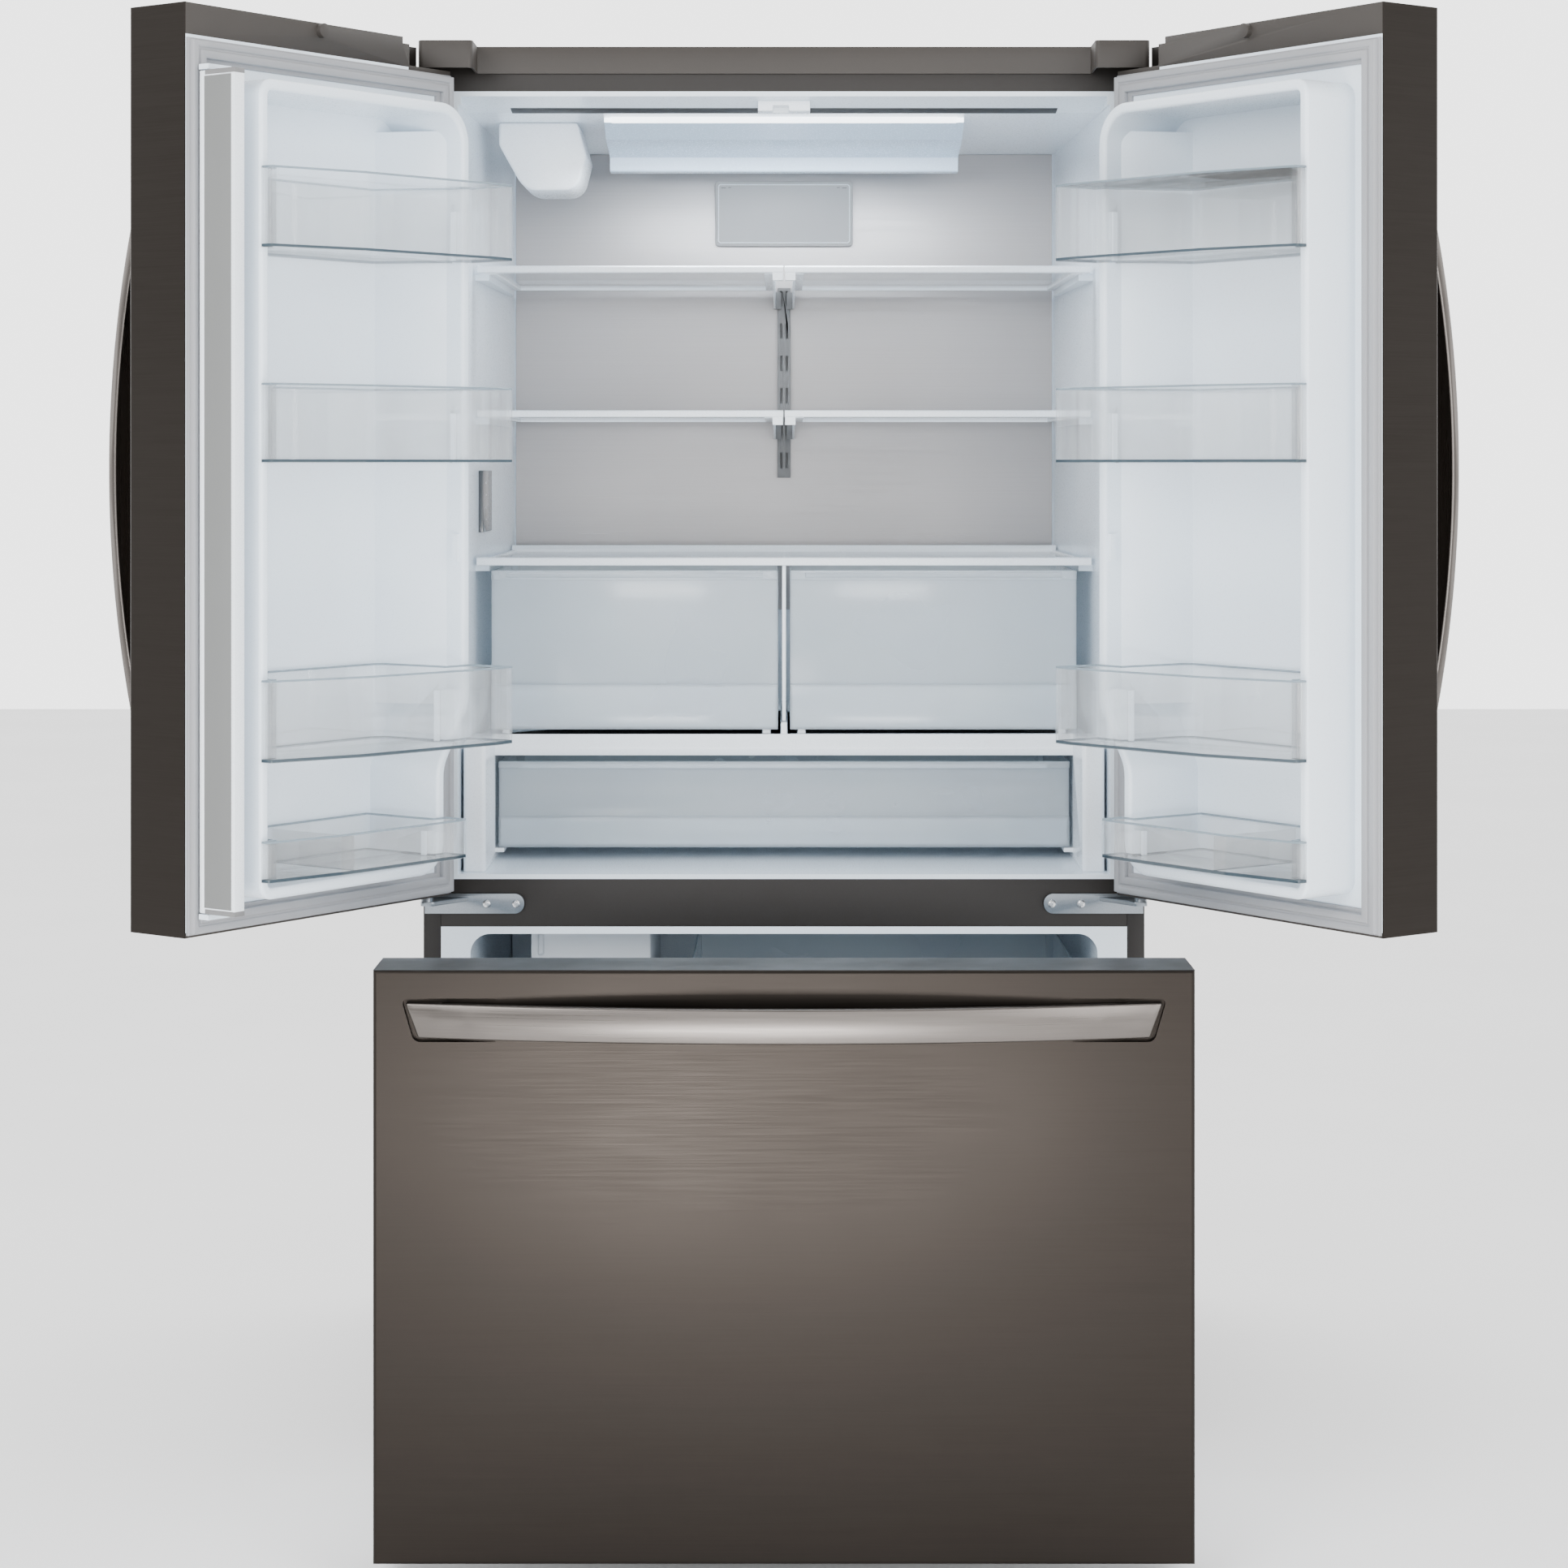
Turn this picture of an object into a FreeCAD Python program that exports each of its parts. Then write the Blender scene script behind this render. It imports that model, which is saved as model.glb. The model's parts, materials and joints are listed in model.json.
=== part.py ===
"""French door refrigerator with a bottom freezer drawer, built as separate named pieces.

Frame while building: X across (0 at the middle), +Y towards the back (0 at the front plane of
the case), +Z up (0 at the floor). At the end everything moves along Y so that the origin is the
middle of the footprint. The doors stand open and the freezer drawer is pulled out.
"""
import FreeCAD, Part
import math
import os

V = FreeCAD.Vector
os.makedirs("parts", exist_ok=True)

# ---------------------------------------------------------------- driving sizes (mm)
case_width = 908.0
case_depth = 733.0
case_height = 1737.0
base_height = 30.0            # underside of the base pan above the floor
sheet = 1.2                   # steel sheet of the case and the door skins
sheet_bend = 4.0              # outer radius where the door and drawer sheets fold
liner_wall = 3.0              # plastic wall of the two food liners
flange_width = 22.0           # painted front edge of the case on each side

freezer_top = 654.0           # lower edge of the center rail
rail_height = 60.0
door_thickness = 90.0         # from the front skin to the back of the door body
seal_gap = 12.0               # from the back of the door body to the case front
door_gap = 6.4                # between the two fridge doors
door_open_angle = 125.3
pivot_inset = 8.0             # hinge pin from the side of the case
pivot_forward = 45.0          # hinge pin in front of the case
pin_radius = 4.0
running_gap = 0.05            # radial clearance of every pin in its hole

dike_depth = 64.0             # how far the door liner rib reaches into the cabinet
pan_depth = 36.0              # recess of the door liner between the ribs
gasket_width = 27.5
gasket_height = 11.0
gasket_foot = 4.0             # flat part of the seal that lies on the door
drawer_pull_out = 403.0
bin_wall = 3.0
handle_reach = 65.0           # door handle, outer face in front of the skin
drawer_handle_reach = 40.0
glass_thickness = 4.0

# ---------------------------------------------------------------- derived levels
half = case_width / 2
inner_half = half - sheet
opening_half = half - flange_width
rail_top = freezer_top + rail_height
fridge_top = case_height - 31.0
top_cover_z = case_height + 25.0
door_bottom = rail_top - 12.0
door_top = top_cover_z - 4.0
drawer_bottom = 24.0
drawer_top = door_bottom - 23.0
door_width = half - door_gap / 2
door_front = -(door_thickness + seal_gap)
door_back = -seal_gap

fridge_floor = rail_top + 6.0
fridge_ceiling = fridge_top - 17.0
fridge_back = case_depth - 91.0
fridge_half_front = opening_half - 21.0
fridge_half_back = fridge_half_front - 17.4

freezer_half = opening_half - 37.0
freezer_floor = base_height + 45.0
freezer_ceiling = freezer_top - 9.0
freezer_back = fridge_back - 2.0
machine_front = case_depth - 213.0
machine_top = 320.0
step_front = machine_front - 30.0
step_top = machine_top + 25.0

food_front = 150.0            # front line of shelves and drawers, behind the closed door bins


# ---------------------------------------------------------------- helpers
def box(x0, x1, y0, y1, z0, z1):
    return Part.makeBox(x1 - x0, y1 - y0, z1 - z0, V(x0, y0, z0))


def rod(radius, start, end):
    a, b = V(*start), V(*end)
    return Part.makeCylinder(radius, (b - a).Length, a, b - a)


def fuse(*shapes):
    flat = []
    for s in shapes:
        flat.extend(s if isinstance(s, (list, tuple)) else [s])
    if len(flat) == 1:
        return flat[0]
    return flat[0].multiFuse(flat[1:]).removeSplitter()


def cut(base, *tools):
    flat = []
    for t in tools:
        flat.extend(t if isinstance(t, (list, tuple)) else [t])
    return base.cut(flat)


def mirrored(shape):
    return shape.mirror(V(0, 0, 0), V(1, 0, 0))


def pair(shape):
    return [shape, mirrored(shape)]


def outline(corners, lift):
    """Closed wire through (u, v, radius) corners; lift turns (u, v) into a point."""
    arcs = []
    count = len(corners)
    for i, (u, v, radius) in enumerate(corners):
        c = V(u, v, 0)
        if radius <= 0:
            arcs.append((c, None, c))
            continue
        p, n = corners[i - 1], corners[(i + 1) % count]
        d1 = (V(p[0], p[1], 0) - c).normalize()
        d2 = (V(n[0], n[1], 0) - c).normalize()
        turn = math.acos(max(-1.0, min(1.0, d1.dot(d2)))) / 2
        reach = radius / math.tan(turn)
        middle = (d1 + d2).normalize()
        mid = c + middle * (radius / math.sin(turn) - radius)
        arcs.append((c + d1 * reach, mid, c + d2 * reach))
    edges = []
    for i, (a, m, b) in enumerate(arcs):
        if m is not None:
            edges.append(Part.Arc(lift(a), lift(m), lift(b)).toShape())
        after = arcs[(i + 1) % count][0]
        if (after - b).Length > 1e-6:
            edges.append(Part.makeLine(lift(b), lift(after)))
    return Part.Wire(edges)


def slab(corners, y0, y1):
    """Outline in X and Z, thick along Y."""
    wire = outline(corners, lambda p: V(p.x, y0, p.y))
    return Part.Face(wire).extrude(V(0, y1 - y0, 0))


def plan(corners, z0, z1):
    """Outline in X and Y, thick along Z."""
    wire = outline(corners, lambda p: V(p.x, p.y, z0))
    return Part.Face(wire).extrude(V(0, 0, z1 - z0))


def side_cut(corners, x0, x1):
    """Outline in Y and Z, thick along X."""
    wire = outline(corners, lambda p: V(x0, p.x, p.y))
    return Part.Face(wire).extrude(V(x1 - x0, 0, 0))


def frame_loop(x0, x1, z0, z1, radius):
    return [(x0, z0, radius), (x1, z0, radius), (x1, z1, radius), (x0, z1, radius)]


def shrink(corners, distance):
    """The same plan outline moved inwards by a distance, corners kept sharp."""
    pts = [V(c[0], c[1], 0) for c in corners]
    area = sum(a.x * b.y - b.x * a.y for a, b in zip(pts, pts[1:] + pts[:1]))
    sign = 1.0 if area > 0 else -1.0
    out = []
    for i, c in enumerate(pts):
        d1 = (c - pts[i - 1]).normalize()
        d2 = (pts[(i + 1) % len(pts)] - c).normalize()
        n1, n2 = V(-d1.y, d1.x, 0) * sign, V(-d2.y, d2.x, 0) * sign
        m = (n1 + n2).normalize()
        p = c + m * (distance / m.dot(n1))
        out.append((p.x, p.y, max(0.0, corners[i][2] - distance)))
    return out


nodes = {}


def keep(name, *shapes):
    solids = []
    for s in shapes:
        for item in (s if isinstance(s, (list, tuple)) else [s]):
            solids.extend(item.Solids)
    nodes[name] = solids[0] if len(solids) == 1 else Part.makeCompound(solids)


# ---------------------------------------------------------------- steel case
rear_open = machine_top + 5.0
side_panel = box(-half, -inner_half, 0, case_depth, base_height, case_height)
side_lip = box(-half, -opening_half, 0, sheet, base_height, case_height)
top_panel = box(-half, half, 0, case_depth, case_height - sheet, case_height)
top_lip = box(-half, half, 0, sheet, fridge_top, case_height)
rear_panel = box(-half, half, case_depth - sheet, case_depth, rear_open, case_height)
keep("outer_case", fuse(pair(side_panel), pair(side_lip), top_panel, top_lip, rear_panel))

# base pan with the step over the machine space, roller forks and their axles
pan_top = base_height + 2.0
kick_top = base_height + 20.0
leg_x, leg_y = half - 54.0, 60.0
roller_x, roller_y, roller_radius, roller_width = half - 49.0, case_depth - 83.0, 22.0, 20.0
pan = box(-inner_half, inner_half, sheet, case_depth - sheet, base_height, pan_top)
kick = box(-opening_half, opening_half, 0, 2.0, base_height, kick_top)
bulkhead = box(-inner_half, inner_half, machine_front, machine_front + 2, base_height, machine_top + 2)
machine_roof = box(-inner_half, inner_half, machine_front, case_depth - sheet,
                   machine_top, machine_top + 2)
fork_in = roller_width / 2 + 3.0
fork = [box(-roller_x + s * fork_in - 1.5, -roller_x + s * fork_in + 1.5, roller_y - 14,
            roller_y + 14, 12.0, base_height + 1) for s in (-1, 1)]
axle = rod(pin_radius, (-roller_x - fork_in, roller_y, roller_radius),
           (-roller_x + fork_in, roller_y, roller_radius))
roller_slot = box(-roller_x - roller_width / 2 - 1.5, -roller_x + roller_width / 2 + 1.5,
                  roller_y - roller_radius - 3, roller_y + roller_radius + 3,
                  base_height - 1, pan_top + 1)
leg_hole = rod(6.5, (-leg_x, leg_y, base_height - 1), (-leg_x, leg_y, pan_top + 1))
base = fuse(pan, kick, bulkhead, machine_roof)
base = cut(base, pair(roller_slot), pair(leg_hole))
keep("base_frame", fuse(base, [p for f in fork for p in pair(f)], pair(axle)))

leg = fuse(rod(20.0, (-leg_x, leg_y, 0), (-leg_x, leg_y, 8)),
           rod(6.0, (-leg_x, leg_y, 8), (-leg_x, leg_y, 62)),
           rod(13.0, (-leg_x, leg_y, base_height - 7), (-leg_x, leg_y, base_height)))
keep("leveling_legs", pair(leg))

roller = cut(rod(roller_radius, (-roller_x - roller_width / 2, roller_y, roller_radius),
                 (-roller_x + roller_width / 2, roller_y, roller_radius)),
             rod(pin_radius + running_gap, (-roller_x - 20, roller_y, roller_radius),
                 (-roller_x + 20, roller_y, roller_radius)))
keep("rear_rollers", pair(roller))

rail = fuse(box(-opening_half, opening_half, 0, 2, freezer_top, rail_top),
            box(-opening_half, opening_half, 0, 40, freezer_top, freezer_top + 2),
            box(-opening_half, opening_half, 0, 40, rail_top - 2, rail_top))
keep("center_rail", rail)


# ---------------------------------------------------------------- fridge liner
flare_depth, flare_rise = 90.0, 11.0          # the ceiling climbs towards the front edge
ceiling_slot_y, ceiling_slot_depth = 80.0, 2.4
rib_height = 8.0                              # ribs on the side walls that carry the shelves


def fridge_space(grow):
    """Tapered food space with a flared ceiling edge, grown outwards by a wall."""
    tapered = plan([(-fridge_half_front - grow, 0, 0), (fridge_half_front + grow, 0, 0),
                    (fridge_half_back + grow, fridge_back + grow, 0),
                    (-fridge_half_back - grow, fridge_back + grow, 0)],
                   fridge_floor - grow, fridge_ceiling + grow)
    flare = side_cut([(0, fridge_ceiling - 5, 0), (flare_depth, fridge_ceiling - 5, 0),
                      (flare_depth, fridge_ceiling + grow, 0),
                      (0, fridge_ceiling + flare_rise + grow, 0)],
                     -fridge_half_front - grow + 4, fridge_half_front + grow - 4)
    return fuse(tapered, flare)


def wall_at(y):
    return fridge_half_front + (fridge_half_back - fridge_half_front) * y / fridge_back


fridge_hollow = fridge_space(0)
fridge_outer = fridge_space(liner_wall)
fridge_flange = box(-opening_half, opening_half, 0, liner_wall, rail_top, fridge_top)

upper_shelf = fridge_ceiling - 193.0
lower_shelf = fridge_ceiling - 382.0
cover_z = fridge_floor + 394.5
rib_inner = fridge_half_back - 6.0
ribs = []
for level in (upper_shelf - 10, lower_shelf - 10, cover_z - 10.5):
    rib = box(-half, -rib_inner, food_front + 30, fridge_back - 70, level - rib_height, level)
    ribs += [r.common(fridge_hollow) for r in pair(rib)]
fridge_liner = cut(fuse(fridge_flange, fridge_outer), fridge_hollow)
slot_half = fridge_half_back - 43.0
ceiling_slot = box(-slot_half, slot_half, ceiling_slot_y - 2, ceiling_slot_y + 2, fridge_ceiling - 1,
                   fridge_ceiling + ceiling_slot_depth)
keep("fridge_liner", cut(fuse(fridge_liner, ribs), ceiling_slot))


# ---------------------------------------------------------------- freezer liner
freezer_corner = 25.0


def freezer_space(grow):
    r = freezer_corner + grow
    tall = slab(frame_loop(-freezer_half - grow, freezer_half + grow, freezer_floor - grow,
                           freezer_ceiling + grow, r), 0, step_front + grow)
    deep = slab(frame_loop(-freezer_half - grow, freezer_half + grow, step_top - grow,
                           freezer_ceiling + grow, r), step_front - 30, freezer_back + grow)
    return fuse(tall, deep)


freezer_hollow = freezer_space(0)
freezer_outer = freezer_space(liner_wall)
freezer_flange = box(-opening_half, opening_half, 0, liner_wall, kick_top, freezer_top)
tray_z = freezer_ceiling - 215.0
tray_half = freezer_half - 23.0
tray_ledge = box(-freezer_half - 1, -tray_half + 14, 70, step_front - 10, tray_z - 6.5, tray_z - 0.5)
freezer_liner = cut(fuse(freezer_flange, freezer_outer), freezer_hollow)
keep("freezer_liner", fuse(freezer_liner, pair(tray_ledge)))

foam = box(-inner_half, inner_half, liner_wall, case_depth - sheet, pan_top, case_height - sheet)
machine_space = box(-half, half, machine_front, case_depth, 0, machine_top + 2)
rail_space = box(-opening_half, opening_half, 0, 40, freezer_top, rail_top)
leg_space = rod(6.5, (-leg_x, leg_y, 0), (-leg_x, leg_y, 70))
keep("insulation_foam", cut(foam, fridge_outer, freezer_outer, machine_space, rail_space,
                            pair(leg_space)))

# ---------------------------------------------------------------- hinges and top cover
pivot_x = -half + pivot_inset
block_inner = -half + 68.0
block_front = -pivot_forward - 21.0
block_bottom = case_height - 9.0
notch_floor = block_bottom - 4.0
notch_width = 75.0
arm_top = case_height + 6.0
pin_reach = 18.0

top_hinge = fuse(
    box(-half + 6, block_inner - 4, 8, 92, case_height, case_height + 4),
    box(-half + 6, block_inner - 4, 4, 8, case_height, arm_top),
    plan([(-half + 4.5, block_front + 4, 12), (block_inner - 4, block_front + 4, 8),
          (block_inner - 4, 8, 0), (-half + 4.5, 8, 0)], arm_top - 4, arm_top),
    rod(pin_radius, (pivot_x, -pivot_forward, notch_floor - pin_reach),
        (pivot_x, -pivot_forward, arm_top - 2)))
mid_arm_top = door_bottom - 10.0
flange_z0, flange_z1 = mid_arm_top - 21.0, mid_arm_top + 4.0
mid_flange = slab([(-half + 2, flange_z0, 0), (-half + 127, flange_z0, 12.0),
                   (-half + 127, flange_z1, 12.0), (-half + 2, flange_z1, 0)], -4, 0)
mid_arm = plan([(-half + 2, 0, 0), (-half + 2, -pivot_forward - 9, 5), (-half + 18, -pivot_forward - 9, 6),
                (-half + 60, 0, 0)], mid_arm_top - 5, mid_arm_top)
mid_pin = rod(pin_radius, (pivot_x, -pivot_forward, mid_arm_top - 2),
              (pivot_x, -pivot_forward, door_bottom + 14))
mid_pin_seat = rod(pin_radius + 3.5, (pivot_x + 1.5, -pivot_forward, mid_arm_top - 2),
                   (pivot_x + 1.5, -pivot_forward, door_bottom - 3))
mid_hinge = fuse(mid_flange, mid_arm, mid_pin, mid_pin_seat)
keep("hinge_brackets", pair(mid_hinge), pair(top_hinge))

screw_z = (flange_z0 + flange_z1) / 2
mid_screws = [rod(5.2, (-half + dx, -4, screw_z), (-half + dx, -7, screw_z)) for dx in (80, 117)]
top_screws = [rod(5.5, (-half + dx, dy, case_height + 4), (-half + dx, dy, case_height + 8))
              for dx, dy in ((22, 28), (48, 28), (35, 72))]
keep("hinge_screws", [s for one in mid_screws + top_screws for s in pair(one)])

strip = box(-half, half, -3, 100, case_height, top_cover_z)
strip = fuse(strip, box(-half, half, -3, 0, block_bottom, case_height + 1))
block = plan([(-half + 0.5, block_front, 7), (block_inner, block_front, 6), (block_inner, 0, 0),
              (-half + 0.5, 0, 0)], block_bottom, top_cover_z)
block_hollow = plan([(-half + 3.3, block_front + 2, 9), (block_inner - 2, block_front + 2, 5),
                     (block_inner - 2, 1, 0), (-half + 3.3, 1, 0)],
                    block_bottom - 1, top_cover_z - 2)
strip_hollow = box(-half + 2, half - 2, 0, 98, case_height - 1, top_cover_z - 2)
mouth = box(-half + 3.3, block_inner - 2, -4, 1, block_bottom - 1, top_cover_z - 2)
keep("top_cover", cut(fuse(strip, pair(block)), strip_hollow, pair(block_hollow), pair(mouth)))

guide_half = 33.0
guide_front, guide_rear = 22.0, 60.0
guide = box(-guide_half, guide_half, guide_front, guide_rear, fridge_ceiling - 5, fridge_ceiling + 20)
guide_track = box(-14, 6, guide_front - 2, guide_rear - 12, fridge_ceiling - 6, fridge_ceiling + 2)
keep("mullion_guide", cut(guide.common(fridge_hollow), guide_track))

# ---------------------------------------------------------------- inside the fridge space
panel_face = fridge_back - 2.5
back_half = fridge_half_back - 2.5
keep("metal_back_panel", box(-back_half, back_half, panel_face, fridge_back,
                             cover_z - 90, fridge_ceiling - 0.5))

filter_half = 100.0
filter_z0, filter_z1 = fridge_ceiling - 135.0, fridge_ceiling - 41.0
filter_cover = slab(frame_loop(-filter_half, filter_half, filter_z0, filter_z1, 6), panel_face - 12,
                    panel_face)
filter_lip = slab(frame_loop(-filter_half + 4, filter_half - 4, filter_z0 + 4, filter_z1 - 4, 4),
                  panel_face - 14, panel_face - 12)
keep("air_filter_cover", fuse(filter_cover, filter_lip))

ladder_face = panel_face - 14.5
ladder_bottom = lower_shelf - 90.0
ladder_half = 9.5
slot_height, slot_pitch, slot_count = 22.0, 47.0, 6
ladder = box(-ladder_half, ladder_half, ladder_face, panel_face, ladder_bottom, upper_shelf - 3)
slot_levels = [ladder_bottom + 14 + slot_pitch * k for k in range(slot_count)]
slots = [box(s * 4 - 1.6, s * 4 + 1.6, ladder_face - 1, ladder_face + 9, z, z + slot_height)
         for s in (-1, 1) for z in slot_levels]
keep("shelf_ladder", cut(ladder, slots))

shelf_rear = fridge_back - 67.0
shelf_outer = fridge_half_back - 1.8
front_outer = wall_at(food_front) - 6.5
shelf_gap = 1.0               # from the middle plane to each half shelf
shelf_arm_x = 12.0


def shelf_frame(level):
    """White trim of the right-hand shelf; level is the top of its front trim."""
    under = level - 10.0
    front = side_cut([(food_front, level - 9, 2), (food_front + 24, level - 9, 0),
                      (food_front + 24, level, 0), (food_front, level, 3)], shelf_gap, front_outer)
    clip = box(shelf_gap + 0.5, shelf_gap + 14, food_front + 2, food_front + 20, level - 19, level - 8)
    rear = box(shelf_arm_x, shelf_outer, shelf_rear - 14, shelf_rear, under, level + 4)
    inner = box(shelf_arm_x, 20, food_front + 20, shelf_rear, under, level - 2)
    outer = box(shelf_outer - 9, shelf_outer, food_front + 20, shelf_rear, under, level - 2)
    seats = [box(18, 26, food_front + 24, shelf_rear - 14, under, under + 3),
             box(shelf_outer - 14, shelf_outer - 8, food_front + 24, shelf_rear - 14, under, under + 3)]
    arm = side_cut([(food_front + 24, under, 0), (food_front + 24, under - 4, 0),
                    (ladder_face - 20, under - 24, 0), (ladder_face, under - 24, 0),
                    (ladder_face, under + 6, 0), (shelf_rear - 5, under + 6, 0)],
                   shelf_arm_x, shelf_arm_x + 3)
    hook = box(4, 15, ladder_face - 8, ladder_face, under - 24, under)
    return fuse(front, clip, rear, inner, outer, seats, arm, hook)


def shelf_glass(level):
    return box(20, shelf_outer - 9, food_front + 24, shelf_rear - 14, level - 7,
               level - 7 + glass_thickness)


frames, panes = [], []
for level in (upper_shelf, lower_shelf):
    frames += pair(shelf_frame(level))
    panes += pair(shelf_glass(level))
keep("shelf_frames", frames)

# cover over the two crispers
cover_rear = fridge_back - 42.0
cover_outer = wall_at(cover_rear) - 2.0
cover_front = side_cut([(food_front, cover_z - 10.5, 2), (food_front + 22, cover_z - 10.5, 0),
                        (food_front + 22, cover_z, 0), (food_front, cover_z, 3)],
                       -(wall_at(food_front) - 5), wall_at(food_front) - 5)
cover_side = box(-cover_outer, -cover_outer + 8, food_front + 20, cover_rear, cover_z - 10.5, cover_z - 2)
cover_seat = box(-cover_outer, -cover_outer + 14, food_front + 20, cover_rear,
                 cover_z - 10.5, cover_z - 8.5)
cover_back = box(-cover_outer, cover_outer, cover_rear - 14, cover_rear, cover_z - 10.5, cover_z + 5)
divider = box(-2.5, 2.5, food_front + 12, cover_rear - 30, fridge_floor + 180, cover_z - 8.5)
crisper_frame = fuse(cover_front, pair(cover_side), pair(cover_seat), cover_back, divider)
keep("crisper_cover_frame", crisper_frame)
panes.append(box(-cover_outer + 8, cover_outer - 8, food_front + 22, cover_rear - 14,
                 cover_z - 8.5, cover_z - 8.5 + glass_thickness))
keep("shelf_glass", panes)

# support under the crispers, which also houses the wide pantry drawer
deck_top = fridge_floor + 164.0
pantry_half = fridge_half_back - 20.6
pantry_z0, pantry_z1 = fridge_floor + 15.0, fridge_floor + 128.0
side_in = pantry_half + 5.0
deck = box(-(fridge_half_back + 2), fridge_half_back + 2, food_front + 4, cover_rear - 40,
           deck_top - 8, deck_top)
deck_front = box(-(wall_at(food_front) - 2), wall_at(food_front) - 2, food_front, food_front + 8,
                 deck_top - 28, deck_top)
cheek_front = plan([(-(wall_at(22) - 4), 22, 6), (-side_in, 22, 6), (-side_in, food_front + 8, 0),
                    (-(wall_at(food_front) - 2), food_front + 8, 0)], fridge_floor, deck_top)
cheek_back = box(-(fridge_half_back + 2), -side_in, food_front + 4, cover_rear - 40,
                 fridge_floor, deck_top)
pantry_seat = box(-side_in - 1, -side_in + 12, food_front + 4, cover_rear - 40,
                  pantry_z0 - 6, pantry_z0 - 0.3)
runner = [box(x, x + 10, food_front + 10, cover_rear - 60, deck_top - 1, deck_top + 5.5)
          for x in (-pantry_half + 4, -28.0)]
stub = box(-4, 4, food_front + 2, cover_rear - 60, deck_top - 1, fridge_floor + 179)
keep("pantry_housing", fuse(deck, deck_front, pair(cheek_front), pair(cheek_back),
                            pair(pantry_seat), [p for r in runner for p in pair(r)], stub))

light_half = fridge_half_back - 158.6      # leaves room for the water filter beside it
hood = side_cut([(food_front, fridge_ceiling, 0), (food_front, fridge_ceiling - 6, 0),
                 (food_front + 45, fridge_ceiling - 24, 4), (food_front + 140, fridge_ceiling - 38, 2),
                 (food_front + 145, fridge_ceiling - 57, 4), (food_front + 175, fridge_ceiling - 57, 4),
                 (food_front + 270, fridge_ceiling, 0)], -light_half, light_half)
lens = box(-light_half + 10, light_half - 10, food_front - 10, food_front, fridge_ceiling - 7,
           fridge_ceiling)
keep("ceiling_light", hood, lens)

pod_left = -fridge_half_back + 16.0
pod_width, pod_drop = 116.0, 90.0
pod_bottom = fridge_ceiling - pod_drop
pod = slab([(pod_left, fridge_ceiling, 0), (pod_left, pod_bottom + 60, 14), (pod_left + 34, pod_bottom, 30),
            (pod_left + pod_width - 12, pod_bottom, 24), (pod_left + pod_width, pod_bottom + 45, 12),
            (pod_left + pod_width - 12, fridge_ceiling, 0)], food_front + 55, food_front + 200)
keep("water_filter", pod)

panel_z0, panel_z1 = fridge_floor + 426.0, fridge_floor + 508.0
panel_y0 = food_front + 64.0
panel_y1 = panel_y0 + 127.0
keep("control_panel", box(-half, -fridge_half_back - 5.5, panel_y0, panel_y1,
                          panel_z0, panel_z1).common(fridge_hollow))

# ---------------------------------------------------------------- sliding food drawers
crisper_outer = fridge_half_back - 10.6
crisper_inner = -8.0
crisper_face = food_front + 10.0
crisper_z0, crisper_z1 = deck_top + 5.6, cover_z - 17.0
drawer_wall = 2.5
drawer_face = 3.0


def open_box(x0, x1, y0, y1, z0, z1, wall, front_wall):
    return cut(box(x0, x1, y0, y1, z0, z1),
               box(x0 + wall, x1 - wall, y0 + front_wall, y1 - wall, z0 + wall, z1 + 1))


def crisper():
    body = open_box(-crisper_outer, crisper_inner, crisper_face, cover_rear - 50,
                    crisper_z0, crisper_z1, drawer_wall, drawer_face)
    step_z = crisper_z0 + 59.0
    step = box(-crisper_outer, crisper_inner, crisper_face - 7, crisper_face + 0.5, crisper_z0, step_z)
    step = cut(step, box(-crisper_outer + 3, crisper_inner - 3, crisper_face - 4, crisper_face + 2,
                         crisper_z0 + 3, step_z - 3))
    rim = cut(box(-crisper_outer, crisper_inner, crisper_face - 4, crisper_face + 3,
                  crisper_z1 - 12, crisper_z1),
              box(-crisper_outer + 20, crisper_inner - 20, crisper_face - 5, crisper_face - 0.5,
                  crisper_z1 - 9, crisper_z1 - 3))
    return fuse(body, step, rim)


keep("crisper_left", crisper())
keep("crisper_right", mirrored(crisper()))

pantry_y0, pantry_y1 = food_front + 6.0, cover_rear - 60.0
pantry = open_box(-pantry_half, pantry_half, pantry_y0, pantry_y1, pantry_z0, pantry_z1,
                  drawer_wall, drawer_face + 0.5)
pantry_lip = box(-pantry_half, pantry_half, pantry_y0 - 5, pantry_y0 + 0.5, pantry_z0 + 2, pantry_z0 + 41)
pantry_lip = cut(pantry_lip, box(-pantry_half + 3, pantry_half - 3, pantry_y0 - 2.5, pantry_y0 + 1,
                                 pantry_z0 + 5, pantry_z0 + 38))
pantry_rim = cut(box(-pantry_half, pantry_half, pantry_y0 - 5, pantry_y0 + 6, pantry_z1 - 9, pantry_z1),
                 box(-pantry_half + 30, pantry_half - 30, pantry_y0 - 2.5, pantry_y0 + 7,
                     pantry_z1 - 10, pantry_z1 - 3))
keep("pantry_drawer", fuse(pantry, pantry_lip, pantry_rim))

# ---------------------------------------------------------------- inside the freezer
ice_width, ice_height = 154.0, 118.0
ice_front, ice_rear = 95.0, 430.0
ice_x0 = -freezer_half + 69.0
ice_x1 = ice_x0 + ice_width
ice_bottom = freezer_ceiling - ice_height
ice_body = box(ice_x0, ice_x1, ice_front, ice_rear, ice_bottom, freezer_ceiling)
ice_slot = box(ice_x0 + 9, ice_x0 + 16, ice_front - 1, ice_front + 4,
               freezer_ceiling - 41, freezer_ceiling - 15)
keep("ice_maker", cut(ice_body, ice_slot))

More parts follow.
